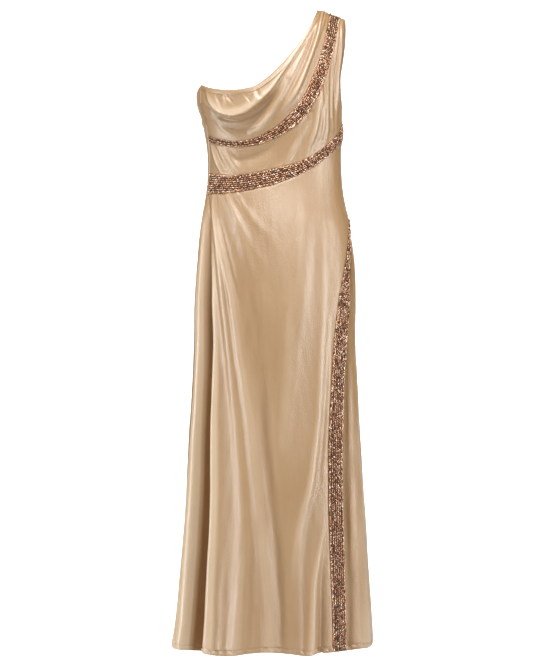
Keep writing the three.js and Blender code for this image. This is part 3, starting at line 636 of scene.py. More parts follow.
@dataclass(frozen=True)
class Pattern:
    """The paper pattern: where each cut piece lies on the form.

    Each method takes shares down and shares across the piece, from 0 to 1, and returns a grid of places.
    The bodice's grids have so many columns along their low edge, along their high one and up the side
    between them, and the skirt's have so many rows down the side seam and down the slit. The underlap
    starts at a level and falls to its full depth, and it fades out before its turn from the trim.
    """

    neck_band_width: float = 8.0
    low_columns: int = 24
    high_columns: int = 13
    side_steps: int = 2
    back_low_columns: int = 20
    back_high_columns: int = 10
    seam_rows: int = 5
    slit_rows: int = 20
    slit_spacing: float = 0.75
    seam_spacing: float = 0.55
    gather_spacing: float = 0.7
    underlap_depth: float = 9.0
    underlap_start: float = 1000.0
    underlap_fall: float = 110.0
    underlap_turn: float = 28.0
    underlap_fade: float = 22.0

    @staticmethod
    def ruled(upper: Places, lower: Places, down: np.ndarray) -> Places:
        """Rules straight lines between two edges."""
        return upper + (lower - upper) * down[:, None, None]

    @staticmethod
    def filled(
        top: Places, foot: Places, left: Places, right: Places, down: np.ndarray, across: np.ndarray
    ) -> Places:
        """Fills four edges with a smooth grid."""
        u, v = down[:, None, None], across[None, :, None]
        corners = (1 - u) * ((1 - v) * top[0] + v * top[-1]) + u * ((1 - v) * foot[0] + v * foot[-1])
        return (1 - u) * top + u * foot + (1 - v) * left[:, None] + v * right[:, None] - corners

    @staticmethod
    def on_left_seam(grid: Places, column: int = 0, turn: float = 0.0) -> Places:
        """Puts one outer column of a grid on the left side seam."""
        grid[:, column] = left_seam(grid[:, column, 1], turn)
        return grid

    def _neckline(self, across: np.ndarray) -> Places:
        """The front neckline."""
        return along(NECKLINE, across)

    def _cowl_top(self, across: np.ndarray) -> Places:
        """The seam between the neck band and the cowl."""
        edge, band = self._neckline(across), self._band_top(across)
        gap = (band - edge) * np.array([MM_PER_DEGREE, 1.0])
        return edge + (band - edge) * (self.neck_band_width / np.linalg.norm(gap, axis=1))[:, None]

    def _band_top(self, across: np.ndarray) -> Places:
        """The upper band's top edge."""
        return along(UPPER_BAND_TOP, across)

    def _band_foot(self, across: np.ndarray) -> Places:
        """The upper band's lower edge."""
        low, high = (UPPER_BAND_FOOT_LOW, self.low_columns), (UPPER_BAND_FOOT_HIGH, self.high_columns)
        return chained((low, high), across)

    def neck_band(self, down: np.ndarray, across: np.ndarray) -> Places:
        """The narrow band along the front neckline."""
        return self.on_left_seam(self.ruled(self._neckline(across), self._cowl_top(across), down))

    def cowl_drape(self, down: np.ndarray, across: np.ndarray) -> Places:
        """The draped satin above the upper band."""
        return self.on_left_seam(self.ruled(self._cowl_top(across), self._band_top(across), down))

    def upper_band(self, down: np.ndarray, across: np.ndarray) -> Places:
        """The beaded band across the bodice."""
        return self.on_left_seam(self.ruled(self._band_top(across), self._band_foot(across), down))

    def bodice_front(self, down: np.ndarray, across: np.ndarray) -> Places:
        """The midriff and the panel up to the armhole."""
        side = (WAIST_BAND_TOP[-1], ARMHOLE_FRONT[0])
        rest = self.high_columns - self.side_steps
        parts = ((WAIST_BAND_TOP, self.low_columns), (side, self.side_steps), (ARMHOLE_FRONT, rest))
        return self.on_left_seam(self.ruled(self._band_foot(across), chained(parts, across), down))

    def waist_band(self, down: np.ndarray, across: np.ndarray) -> Places:
        """The beaded band at the waist."""
        top, foot = along(WAIST_BAND_TOP, across), along(WAIST_BAND_FOOT, across)
        return self.on_left_seam(self.ruled(top, foot, down))

    def bodice_back(self, down: np.ndarray, across: np.ndarray) -> Places:
        """The back of the bodice and its strap."""
        side = (ARMHOLE_BACK[-1], BACK_WAIST[0])
        high, low = (ARMHOLE_BACK, self.back_high_columns), (BACK_WAIST, self.back_low_columns)
        edge = chained((high, (side, self.side_steps), low), across)
        grid = self.ruled(along(BACK_NECKLINE, across), edge, down)
        return self.on_left_seam(grid, column=-1, turn=360.0)

    def _right_edge(self, slit: Edge, shares: np.ndarray) -> Places:
        """The right side seam, and then an edge of the slit."""
        seam_end = self.seam_rows / (self.seam_rows + self.slit_rows)
        seam = along((WAIST_BAND_FOOT[-1], slit[0]), np.clip(shares / seam_end, 0, 1))
        below = spaced(np.clip((shares - seam_end) / (1 - seam_end), 0, 1), self.slit_spacing)
        return np.where((shares < seam_end)[:, None], seam, along(slit, below))

    def _left_edge(self, shares: np.ndarray, turn: float = 0.0) -> Places:
        """The left side seam of the skirt."""
        top, hem = WAIST_BAND_FOOT[0][1], LEFT_SEAM[-1][1]
        return left_seam(top + (hem - top) * spaced(shares, self.seam_spacing), turn)

    def skirt_front(self, down: np.ndarray, across: np.ndarray) -> Places:
        """The skirt's front, gathered towards its left seam."""
        top = along(WAIST_BAND_FOOT, spaced(across, self.gather_spacing))
        foot = along(FRONT_HEM, across)
        left, right = self._left_edge(down), self._right_edge(TRIM_INNER, down)
        return self.filled(top, foot, left, right, down, across)

    def slit_trim(self, down: np.ndarray, across: np.ndarray) -> Places:
        """The beaded border of the slit, with its length across the grid."""
        shares = spaced(across, self.slit_spacing)
        return self.ruled(along(TRIM_OUTER, shares), along(TRIM_INNER, shares), down)

    def skirt_back(self, down: np.ndarray, across: np.ndarray) -> Places:
        """The skirt's sides and back, with the underlap of the slit."""
        rows = self.seam_rows + self.slit_rows
        shares = np.clip((down * (rows + 1) - 1) / rows, 0, 1)
        head = np.clip(down * (rows + 1), 0, 1)[:, None]
        right = self._right_edge(UNDERLAP_EDGE, shares)
        left = self._left_edge(shares, turn=360.0)
        right = np.asarray(BACK_WAIST[0]) * (1 - head) + right * head
        left = np.asarray(BACK_WAIST[-1]) * (1 - head) + left * head
        top, foot = along(BACK_WAIST, across), along(BACK_HEM, across)
        return self.filled(top, foot, right, left, down, across)

    def underlap(self, places: Places) -> np.ndarray:
        """How far the panel under the slit lies behind the front at each place."""
        angle, level = places[..., 0], places[..., 1]
        low = smooth_step((self.underlap_start - level) / self.underlap_fall)
        end = angle_by_level(TRIM_OUTER, level) + self.underlap_turn
        return self.underlap_depth * low * smooth_step((end - angle) / self.underlap_fade)


class Rolled(Enum):
    """The edge of a sheet that is turned under, if any."""

    NONE = "none"
    TOP = "top"
    FOOT = "foot"


@dataclass(frozen=True)
class Weave:
    """How a sheet is made: its grid, its wall and its edges, in millimetres.

    It lies proud of the form, dips at its seams and is parted from its neighbours there. An edge that is
    turned under goes round the roll's radius and has so much turning inside. ripple and pucker are the
    heights of its unevenness and of its gathers at the seams.
    """

    rows: int
    columns: int
    wall: float = 1.3
    proud: float = 0.0
    seam_dip: float = 1.1
    seam_breadth: float = 1.7
    parted: float = 0.15
    rolled: Rolled = Rolled.NONE
    roll_radius: float = 0.95
    turning: float = 10.0
    ripple: float = 0.5
    pucker: float = 0.35


@dataclass
class Sheet:
    """A finished grid of cloth: its middle surface, which way it faces and how high it stands."""

    points: Points
    normals: Points
    heights: np.ndarray

    def sample(self, down: np.ndarray, across: np.ndarray) -> tuple[Points, Points, Points]:
        """Reads the sheet between its grid points.

        Args:
            down: Shares of the rows, from 0 to 1.
            across: Shares of the columns, from 0 to 1.

        Returns:
            The points, the normals and the directions along the columns there.
        """
        rows, columns = self.points.shape[:2]
        r, c = down * (rows - 1), across * (columns - 1)
        i = np.clip(r.astype(int), 0, rows - 2)
        j = np.clip(c.astype(int), 0, columns - 2)
        u, v = (r - i)[:, None], (c - j)[:, None]

        def blend(grid: Points) -> Points:
            """Mixes the four grid values round each place."""
            near = grid[i, j] * (1 - v) + grid[i, j + 1] * v
            far = grid[i + 1, j] * (1 - v) + grid[i + 1, j + 1] * v
            return near * (1 - u) + far * u

        along_row = self.points[i, j + 1] - self.points[i, j]
        return blend(self.points), unit(blend(self.normals)), unit(along_row)


def grid_normals(points: Points) -> Points:
    """Finds the outward normal at each point of a grid whose rows go down and columns go round."""
    return unit(np.cross(np.gradient(points, axis=1), -np.gradient(points, axis=0)))


# How far the close lines of a grid are from a seam and from a hem, and how near the next even line may be.
SEAM_LINES = (0.0, 0.8, 1.7, 3.0)
HEM_LINES = (0.0, 0.8, 1.7, 3.4, 5.2, 7.0, 8.6, 9.8, 11.0, 12.2, 13.6, 15.4)
LINE_GAP = 1.6


def edge_spacing(count: int, length: float, last: Sequence[float] = SEAM_LINES) -> np.ndarray:
    """Spaces a grid evenly, with a few close lines at both ends for seams and hems.

    Args:
        count: How many even steps there are.
        length: The grid's length in millimetres.
        last: How far the close lines at the far end are from it.

    Returns:
        Rising shares from 0 to 1.
    """
    even = np.linspace(0, 1, count + 1)
    first, final = np.array(SEAM_LINES) / length, np.array(last) / length
    gap = LINE_GAP / length
    inner = even[(even > first[-1] + gap) & (even < 1 - final[-1] - gap)]
    return np.concatenate([first, inner, 1 - final[::-1]])


def mesh_piece(name: str, points: Points, faces: np.ndarray) -> bpy.types.Object:
    """Makes an object of faces that all have the same number of sides.

    Args:
        name: The piece's name.
        points: Its points, in metres.
        faces: The point numbers of each face.

    Returns:
        The new object, in the scene.
    """
    mesh = bpy.data.meshes.new(name)
    mesh.vertices.add(len(points))
    mesh.vertices.foreach_set("co", points.astype(np.float32).ravel())
    mesh.loops.add(faces.size)
    mesh.loops.foreach_set("vertex_index", faces.astype(np.int32).ravel())
    mesh.polygons.add(len(faces))
    mesh.polygons.foreach_set("loop_start", np.arange(0, faces.size, faces.shape[1], dtype=np.int32))
    mesh.update(calc_edges=True)
    piece = bpy.data.objects.new(name, mesh)
    bpy.context.collection.objects.link(piece)
    return piece


def mark_points(piece: bpy.types.Object, name: str, values: np.ndarray) -> None:
    """Keeps a value at each point of a piece, for its material to read by name."""
    layer = piece.data.attributes.new(name, "FLOAT", "POINT")
    layer.data.foreach_set("value", values.astype(np.float32).ravel())


def select_only(piece: bpy.types.Object) -> None:
    """Makes a piece the only selected and active one."""
    bpy.ops.object.select_all(action="DESELECT")
    piece.select_set(True)
    bpy.context.view_layer.objects.active = piece


def clear_selection(kind: str) -> None:
    """Sets what the active piece's edits select, VERT, EDGE or FACE, and deselects all of it."""
    bpy.ops.object.mode_set(mode="EDIT")
    bpy.ops.mesh.select_mode(type=kind)
    bpy.ops.mesh.select_all(action="DESELECT")
    bpy.ops.object.mode_set(mode="OBJECT")


def finish_piece(piece: bpy.types.Object, material: bpy.types.Material, node: str) -> None:
    """Gives a piece its material and its place in the frame.

    Args:
        piece: The piece.
        material: What it is dressed in.
        node: The solid that it replaces, or nothing.
    """
    piece.data.materials.append(material)
    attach(piece, "root")
    if node:
        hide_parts(node)
    log.info("%s: %d faces", piece.name, len(piece.data.polygons))


@dataclass(frozen=True)
class Wave:
    """One scale of the slight unevenness of hanging cloth: a wave round the body times one down it.

    share is its part of the whole. The wave round the body has so many turns, moved on by the start and,
    with the level, by the slant. The wave down the body climbs, and sways to and fro as it goes round.
    """

    share: float
    turns: float
    slant: float
    start: float
    climb: float
    sway: float
    sway_turns: float
    sway_start: float

    def rise(self, turn: np.ndarray, level: np.ndarray) -> np.ndarray:
        """Works out the rise at turns round the body, in radians, and levels."""
        swaying = self.sway * np.sin(self.sway_turns * turn + self.sway_start)
        round_body = np.sin(self.turns * turn + self.slant * level + self.start)
        return self.share * round_body * np.sin(self.climb * level + swaying)


WAVES = (
    Wave(1.0, 9, 0.004, 1.1, 0.011, 2.0, 3, 0),
    Wave(0.55, 23, -0.006, 0.7, 0.023, 1.7, 5, 1),
    Wave(0.3, 41, 0.012, 0, 0.052, 2.3, 7, 0),
)


@dataclass(frozen=True)
class SeamGathers:
    """The small gathers that sewing leaves beside a seam, with lengths in millimetres."""

    middle: float = 5.0
    breadth: float = 5.0
    slant: float = 1.3
    across_pitch: float = 3.1
    across_sway: float = 2.1
    across_sway_pitch: float = 23.0
    down_pitch: float = 3.7
    down_sway: float = 1.9
    down_sway_pitch: float = 19.0

    def rise(self, points: Points, away: np.ndarray) -> np.ndarray:
        """Works out the rise, as a share, of points that are so far away from the nearest edge."""
        x, y, z = (points[..., k] for k in range(3))
        across = (x + self.slant * y) / self.across_pitch
        across = np.sin(across + self.across_sway * np.sin(z / self.across_sway_pitch))
        down = np.sin(z / self.down_pitch + self.down_sway * np.sin(x / self.down_sway_pitch))
        return across * down * bell(away, self.middle, self.breadth)


@dataclass(frozen=True)
class HemSewing:
    """A stitched hem, in millimetres: a line sunk by the stitches, and slanting ripples below it."""

    depth: float = 11.0
    sink: float = 1.1
    sink_breadth: float = 1.5
    ripple: float = 2.1
    ripple_middle: float = 5.5
    ripple_breadth: float = 4.2
    pitch: float = 2.9
    slant_pitch: float = 5.5
    drift: float = 1.8
    drift_pitch: float = 37.0
    fading: float = 0.45
    fading_pitch: float = 61.0
    fading_start: float = 1.3

    def rise(self, points: Points) -> np.ndarray:
        """Works out the rise of each point of a grid whose last row is the hem's edge."""
        fall = distances(points)
        above = fall[-1:] - fall
        run = distances(points[-1])[None]
        slant = run / self.pitch + above / self.slant_pitch + self.drift * np.sin(run / self.drift_pitch)
        strength = 1 - self.fading + self.fading * np.sin(run / self.fading_pitch + self.fading_start)
        ripple = self.ripple * strength * np.sin(slant)
        ripple *= bell(above, self.ripple_middle, self.ripple_breadth)
        return ripple - self.sink * bell(above, self.depth, self.sink_breadth)


@dataclass(frozen=True)
class Tailor:
    """Lays cloth on the form and sews it into pieces.

    The unevenness of the cloth fades out within inset of an edge. The heights round a point are smoothed
    passes times, to compare it with them, and hollows deeper than deep count deep_share more.
    """

    form: DressForm
    pattern: Pattern
    gathers: SeamGathers = SeamGathers()
    hem: HemSewing = HemSewing()
    inset: float = 18.0
    passes: int = 120
    deep: float = 4.0
    deep_share: float = 0.3
    sharp_angle: float = 52.0

    def drape(self, places: Places, underlap: bool = False) -> Points:
        """Lays places on the form and folds the cloth there.

        Args:
            places: A grid of angles and levels.
            underlap: Whether this cloth goes behind the slit.

        Returns:
            The cloth's middle surface in millimetres.
        """
        shape = places.shape[:-1] + (3,)
        plain = self.form.point(places).reshape(-1, 3)
        moved = plain.copy()
        for fold in FOLDS + CREASES:
            moved += fold.shift(self.form, plain)
        if underlap:
            depth = self.pattern.underlap(places).reshape(-1, 1)
            moved -= self.form.normal(places).reshape(-1, 3) * depth
        return moved.reshape(shape)

    @staticmethod
    def ripple(points: Points) -> np.ndarray:
        """Works out the slight unevenness of hanging cloth, as a share."""
        x, y, z = (points[..., k] for k in range(3))
        turn = np.arctan2(y, x)
        return sum(wave.rise(turn, z) for wave in WAVES)

    @staticmethod
    def edge_distance(points: Points) -> np.ndarray:
        """Measures how far each point of a grid is from the grid's nearest edge."""
        fall, run = distances(points), distances(points, 1)
        return np.minimum.reduce([fall, fall[-1:] - fall, run, run[:, -1:] - run])

    @staticmethod
    def roll(sheet: Sheet, weave: Weave) -> Points:
        """Turns one edge of a sheet under.

        Args:
            sheet: The sheet.
            weave: Which edge is turned, and how.

        Returns:
            The sheet's points with the turned rows added.
        """
        edge, before = (0, 1) if weave.rolled is Rolled.TOP else (-1, -2)
        brink, normal = sheet.points[edge], sheet.normals[edge]
        away = unit(brink - sheet.points[before])
        rows = [
            brink
            + away * weave.roll_radius * math.sin(turn)
            - normal * weave.roll_radius * (1 - math.cos(turn))
            for turn in (math.pi / 4, math.pi / 2, 3 * math.pi / 4, math.pi)
        ]
        turned_under = rows[-1]
        rows += [turned_under - away * weave.turning * share for share in (0.35, 0.7, 1.0)]
        added = np.stack(rows)
        if weave.rolled is Rolled.TOP:
            return np.concatenate([added[::-1], sheet.points])
        return np.concatenate([sheet.points, added])

    def cut(self, name: str, weave: Weave, lengths: tuple[float, float]) -> Sheet:
        """Cuts and drapes one piece of the pattern.

        Args:
            name: The piece's name in the pattern and its solid's name.
            weave: How the sheet is made.
            lengths: The piece's rough length down and across, in millimetres.

        Returns:
            The draped sheet.
        """
        hemmed = weave.rolled is Rolled.FOOT
        down = edge_spacing(weave.rows, lengths[0], HEM_LINES if hemmed else SEAM_LINES)
        across = edge_spacing(weave.columns, lengths[1])
        places = getattr(self.pattern, name)(down, across)
        points = self.drape(places, underlap=name == "skirt_back")
        normals = grid_normals(points)
        away = self.edge_distance(points)
        rise = weave.proud + weave.ripple * self.ripple(points) * smooth_step(away / self.inset)
        rise -= weave.seam_dip * bell(away, 0.0, weave.seam_breadth)
        rise += weave.pucker * self.gathers.rise(points, away)
        if hemmed:
            rise += self.hem.rise(points)
        points = points + normals * rise[..., None]
        self._part(points, weave.parted)
        return Sheet(points, grid_normals(points), self.heights(places, points))

    def heights(self, places: Places, points: Points) -> np.ndarray:
        """Measures how high the cloth stands in its folds, for the satin's painted shade and highlight.

        Args:
            places: Where the cloth lies on the form.
            points: Points of the cloth.

        Returns:
            A height for each point, in millimetres, above 0 on a crest and below 0 in a hollow.
        """
        lift = ((points - self.form.point(places)) * self.form.normal(places)).sum(-1)
        smooth = lift
        for _ in range(self.passes):
            for axis in (0, 1):
                reach = [(1, 1) if k == axis else (0, 0) for k in range(2)]
                wide = np.pad(smooth, reach, mode="edge")
                before, after = np.delete(wide, (-2, -1), axis), np.delete(wide, (0, 1), axis)
                smooth = (before + after) / 4 + smooth / 2
        return lift - smooth + self.deep_share * np.minimum(lift + self.deep, 0.0)

    @staticmethod
    def _part(points: Points, gap: float) -> None:
        """Draws the outer lines of a grid in, to leave room at the seams."""
        for edge, before in ((0, 1), (-1, -2)):
            points[:, edge] += gap * unit(points[:, before] - points[:, edge])
            points[edge] += gap * unit(points[before] - points[edge])

    def sew(self, name: str, sheet: Sheet, weave: Weave) -> bpy.types.Object:
        """Makes a Blender piece of a sheet: its mesh, its cloth coordinates and its wall.

        Args:
            name: The piece's name.
            sheet: The draped sheet.
            weave: How the sheet is made.

        Returns:
            The new piece.
        """
        points = sheet.points if weave.rolled is Rolled.NONE else self.roll(sheet, weave)
        rows, columns = points.shape[:2]
        number = np.arange(rows * columns).reshape(rows, columns)
        faces = np.stack([number[:-1, :-1], number[1:, :-1], number[1:, 1:], number[:-1, 1:]], axis=-1)
        faces = faces.reshape(-1, 4)
        piece = mesh_piece(name, (points - self.form.origin).reshape(-1, 3) * MM, faces)
        self._lay_out(piece, points, faces)
        more = rows - sheet.heights.shape[0]
        before = (more, 0) if weave.rolled is Rolled.TOP else (0, more)
        # The heights set where the satin paints shade into hollows and highlight onto crests.
        mark_points(piece, "height", np.pad(sheet.heights, (before, (0, 0)), mode="edge"))
        wall = piece.modifiers.new("wall", "SOLIDIFY")
        wall.thickness = weave.wall * MM
        wall.offset = 0.0
        wall.use_quality_normals = True
        select_only(piece)
        bpy.ops.object.modifier_apply(modifier=wall.name)
        bpy.ops.object.shade_smooth_by_angle(angle=math.radians(self.sharp_angle))
        return piece

    @staticmethod
    def _lay_out(piece: bpy.types.Object, points: Points, faces: np.ndarray) -> None:
        """Gives a piece its cloth coordinates, which run in metres across and down the sheet."""
        flat = np.stack([distances(points, 1), -distances(points)], axis=-1).reshape(-1, 2) * MM
        layer = piece.data.uv_layers.new(name="cloth")
        layer.data.foreach_set("uv", flat[faces.ravel()].astype(np.float32).ravel())


class Socket:
    """A shader value that takes part in Python sums."""

    def __init__(self, book: "NodeBook", value: bpy.types.NodeSocket) -> None:
        """Wraps a socket of a node in book."""
        self.book = book
        self.value = value

    def _sum(self, operation: str, first: "Socket | float", second: "Socket | float") -> "Socket":
        """Adds a Math node."""
        return self.book.node("ShaderNodeMath", {"operation": operation}, {0: first, 1: second})

    def __add__(self, other: "Socket | float") -> "Socket":
        """Adds."""
        return self._sum("ADD", self, other)

    def __mul__(self, other: "Socket | float") -> "Socket":
        """Multiplies."""
        return self._sum("MULTIPLY", self, other)


class NodeBook:
    """Writes the nodes of one material."""

    def __init__(self, name: str) -> None:
        """Starts a material with nothing but its shader and output."""
        self.material = bpy.data.materials.new(name)
        self.material.use_nodes = True
        self.tree = self.material.node_tree
        self.tree.nodes.clear()
        self.shader = self.tree.nodes.new("ShaderNodeBsdfPrincipled")
        output = self.tree.nodes.new("ShaderNodeOutputMaterial")
        self.tree.links.new(self.shader.outputs["BSDF"], output.inputs["Surface"])

    def node(
        self, kind: str, settings: dict[str, object], inputs: dict[str | int, object], output: str | int = 0
    ) -> Socket:
        """Adds a node.

        Args:
            kind: Blender's name for the node.
            settings: Its settings, set first.
            inputs: A value or a Socket for each of its sockets.
            output: The output to return.

        Returns:
            The chosen output.
        """
        new = self.tree.nodes.new(kind)
        for key, value in settings.items():
            setattr(new, key, value)
        for key, value in inputs.items():
            self.feed(new.inputs[key], value)
        return Socket(self, new.outputs[output])

    def feed(self, socket: bpy.types.NodeSocket, value: "Socket | float | tuple") -> None:
        """Links or sets one input, and gives a colour its full alpha."""
        if isinstance(value, Socket):
            self.tree.links.new(value.value, socket)
        else:
            socket.default_value = (*value, 1.0) if socket.type == "RGBA" else value

    def dress(self, **inputs: "Socket | float | tuple") -> bpy.types.Material:
        """Feeds the shader, with each input's name in words joined by underscores."""
        for key, value in inputs.items():
            self.feed(self.shader.inputs[key.replace("_", " ")], value)
        return self.material

    def place(self, stretch: Triple = (1, 1, 1)) -> Socket:
        """The place on the object, stretched by a factor along each axis."""
        where = self.node("ShaderNodeTexCoord", {}, {}, "Object")
        return self.node("ShaderNodeMapping", {}, {"Vector": where, "Scale": stretch})

    def noise(
        self, scale: float, detail: float = 2.0, stretch: Triple = (1, 1, 1), twist: float = 0.0
    ) -> Socket:
        """Soft noise from 0 to 1, stretched by a factor along each axis."""
        inputs = {"Vector": self.place(stretch), "Scale": scale, "Detail": detail, "Distortion": twist}
        return self.node("ShaderNodeTexNoise", {}, inputs)

    def blend(self, share: "Socket | float", first: "Socket | tuple", second: "Socket | tuple") -> Socket:
        """Mixes two colours."""
        settings = {"data_type": "RGBA"}
        return self.node("ShaderNodeMix", settings, {0: share, 6: first, 7: second}, 2)

    def ramp(self, share: Socket, stops: Stops) -> Socket:
        """Reads a colour ramp, which has a place and a colour for each stop."""
        colour = self.node("ShaderNodeValToRGB", {}, {"Fac": share})
        elements = colour.value.node.color_ramp.elements
        while len(elements) < len(stops):
            elements.new(0.5)
        for element, (place, tint) in zip(elements, stops):
            element.position = place
            element.color = (*tint, 1.0)
        return colour

    def span(self, value: Socket, low: float, high: float, new_low: float, new_high: float) -> Socket:
        """Maps a value from one range to another, held within it."""
        inputs = {"Value": value, "From Min": low, "From Max": high, "To Min": new_low, "To Max": new_high}
        return self.node("ShaderNodeMapRange", {}, inputs)

    def graded(self, noise: Socket, low: float, high: float) -> Socket:
        """Maps the usual range of noise to another."""
        return self.span(noise, 0.3, 0.7, low, high)

    def bump(self, height: Socket, distance: float, strength: float = 1.0) -> Socket:
        """Tilts the surface by a height, given in shares of distance."""
        return self.node("ShaderNodeBump", {}, {"Height": height, "Distance": distance, "Strength": strength})


def lighter(colour: Colour, times: float) -> Colour:
    """Makes a colour lighter."""
    return tuple(times * part for part in colour)


@dataclass(frozen=True)
class SatinFinish:
    """Glossy satin: a close weave with a soft sheen, slightly mottled where it has been handled.

    Its colour goes over to the hollow's, a painted shade, and to the crest's, a painted highlight, between
    two heights each, in millimetres. The painted shade also makes the hollows metallic.
    """

    body: Colour = (0.435, 0.239, 0.09)
    pale: Colour = (0.522, 0.314, 0.138)
    # Painted highlight: the colour that the crests go over to.
    crest: Colour = (0.74, 0.53, 0.33)
    # Painted shade: the colour that the hollows go over to.
    hollow: Colour = (0.28, 0.128, 0.028)
    tint: Colour = (1.0, 0.99, 0.97)
    painted_shade_heights: tuple[float, float] = (-9.0, -0.8)
    painted_highlight_heights: tuple[float, float] = (0.7, 5.5)
    roughness: tuple[float, float] = (0.41, 0.52)
    painted_shade_metallic: float = 0.65
    relief: float = 0.0015
    index: float = 1.95
    mirror: float = 0.9

    def material(self) -> bpy.types.Material:
        """Writes the satin's nodes."""
        book = NodeBook("satin")
        cloud = book.noise(7.0, 3.0, (1, 1, 0.5))
        streak = book.noise(210.0, 2.0, (1, 1, 0.06))
        crinkle = book.noise(48.0, 4.0, (1, 1, 0.6), 0.8)
        grain = book.noise(330.0, 3.0)
        thread = book.noise(1500.0, 1.0, (1, 1, 0.12))
        share = book.graded(cloud * 0.6 + streak * 0.25 + grain * 0.15, 0.0, 1.0)
        height = book.node("ShaderNodeAttribute", {"attribute_name": "height"}, {}, "Fac")
        # Painted shade in the hollows and painted highlight on the crests, from the cloth's heights.
        shade = book.span(height, *self.painted_shade_heights, 1.0, 0.0)
        painted_highlight = book.span(height, *self.painted_highlight_heights, 0.0, 1.0)
        flat = book.blend(share, self.body, self.pale)
        with_painted_highlight = book.blend(painted_highlight, flat, self.crest)
        colour = book.blend(shade, with_painted_highlight, self.hollow)
        rough = book.graded(cloud * 0.5 + grain * 0.5, *self.roughness)
        relief = crinkle * 0.4 + streak * 0.08 + grain * 0.48 + thread * 0.04
        return book.dress(
            Base_Color=colour,
            Roughness=rough,
            # The painted shade also makes the hollows metallic, so their reflections take its dark colour.
            Metallic=shade * self.painted_shade_metallic,
            Normal=book.bump(relief, self.relief, 0.8),
            IOR=self.index,
            Specular_IOR_Level=self.mirror,
            Specular_Tint=self.tint,
        )


@dataclass(frozen=True)
class BackingFinish:
    """The dark cloth that the beads are sewn to."""

    colour: Colour = (0.10, 0.043, 0.021)

    def material(self) -> bpy.types.Material:
        """Writes the backing's nodes."""
        book = NodeBook("bead_backing")
        weave = book.noise(900.0, 2.0)
        return book.dress(
            Base_Color=book.blend(weave, self.colour, lighter(self.colour, 1.7)),
            Roughness=book.graded(weave, 0.55, 0.8),
            Normal=book.bump(weave, 0.0004),
        )


@dataclass(frozen=True)
class BeadFinish:
    """Metallic and glass beads, from dark copper to pale rose, by each one's own tone."""

    dark: Colour = (0.135, 0.055, 0.026)
    copper: Colour = (0.58, 0.272, 0.142)
    rose: Colour = (0.88, 0.52, 0.32)
    pale: Colour = (1.0, 0.73, 0.52)
    glass: Colour = (1.0, 0.85, 0.7)
    tones: Sequence[float] = (0.0, 0.3, 0.62, 0.85, 1.0)
    metal: float = 0.65

    def material(self) -> bpy.types.Material:
        """Writes the beads' nodes."""
        book = NodeBook("beadwork")
        tone = book.node("ShaderNodeAttribute", {"attribute_name": "tone"}, {}, "Fac")
        speck = book.noise(1400.0, 1.0)
        colours = (self.dark, self.copper, self.rose, self.pale, self.glass)
        stops = list(zip(self.tones, colours))
        return book.dress(
            Base_Color=book.ramp(tone, stops),
            Roughness=book.span(tone * 0.7 + speck * 0.3, 0.1, 0.9, 0.32, 0.14),
            Metallic=self.metal,
            Normal=book.bump(speck, 0.0002, 0.4),
        )


@dataclass(frozen=True)
class ThreadFinish:
    """Sewing thread a shade darker than the satin."""

    colour: Colour = (0.40, 0.25, 0.13)

    def material(self) -> bpy.types.Material:
        """Writes the thread's nodes."""
        book = NodeBook("thread")
        twist = book.noise(2600.0, 1.0)
        return book.dress(
            Base_Color=book.blend(twist, self.colour, lighter(self.colour, 1.3)),
            Roughness=book.graded(twist, 0.45, 0.6),
            Normal=book.bump(twist, 0.0001),
        )


@dataclass(frozen=True)
class StudioFinish:
    """The pale paper of the floor and backdrop."""

    colour: Colour = (0.8, 0.8, 0.8)
    floor_glow: Colour = (0.02, 0.02, 0.02)
    paper_glow: Colour = (1.0, 1.0, 1.0)
    glow: float = 0.8

    def material(self) -> bpy.types.Material:
        """Writes the paper's nodes."""
        book = NodeBook("studio_paper")
        tooth = book.noise(3.0, 2.0)
        depth = book.node("ShaderNodeSeparateXYZ", {}, {"Vector": book.place()}, "Y")
        behind = book.span(depth, 0.1, 0.6, 0.0, 1.0)
        return book.dress(
            Base_Color=book.blend(tooth, self.colour, lighter(self.colour, 1.03)),
            Roughness=0.95,
            Emission_Color=book.blend(behind, self.floor_glow, self.paper_glow),
            Emission_Strength=self.glow,
            Specular_IOR_Level=0.1,
        )


@dataclass(frozen=True)
class Shape:
    """A small repeated thing, as points in millimetres and triangles."""

    points: Points
    faces: np.ndarray

    @classmethod
    def from_active(cls) -> "Shape":
        """Takes the mesh of the active object, which is all triangles, and removes the object."""
        piece = bpy.context.active_object
        points = np.array([v.co[:] for v in piece.data.vertices]) / MM
        faces = np.array([p.vertices[:] for p in piece.data.polygons])
        bpy.data.objects.remove(piece, do_unlink=True)
        return cls(points, faces)


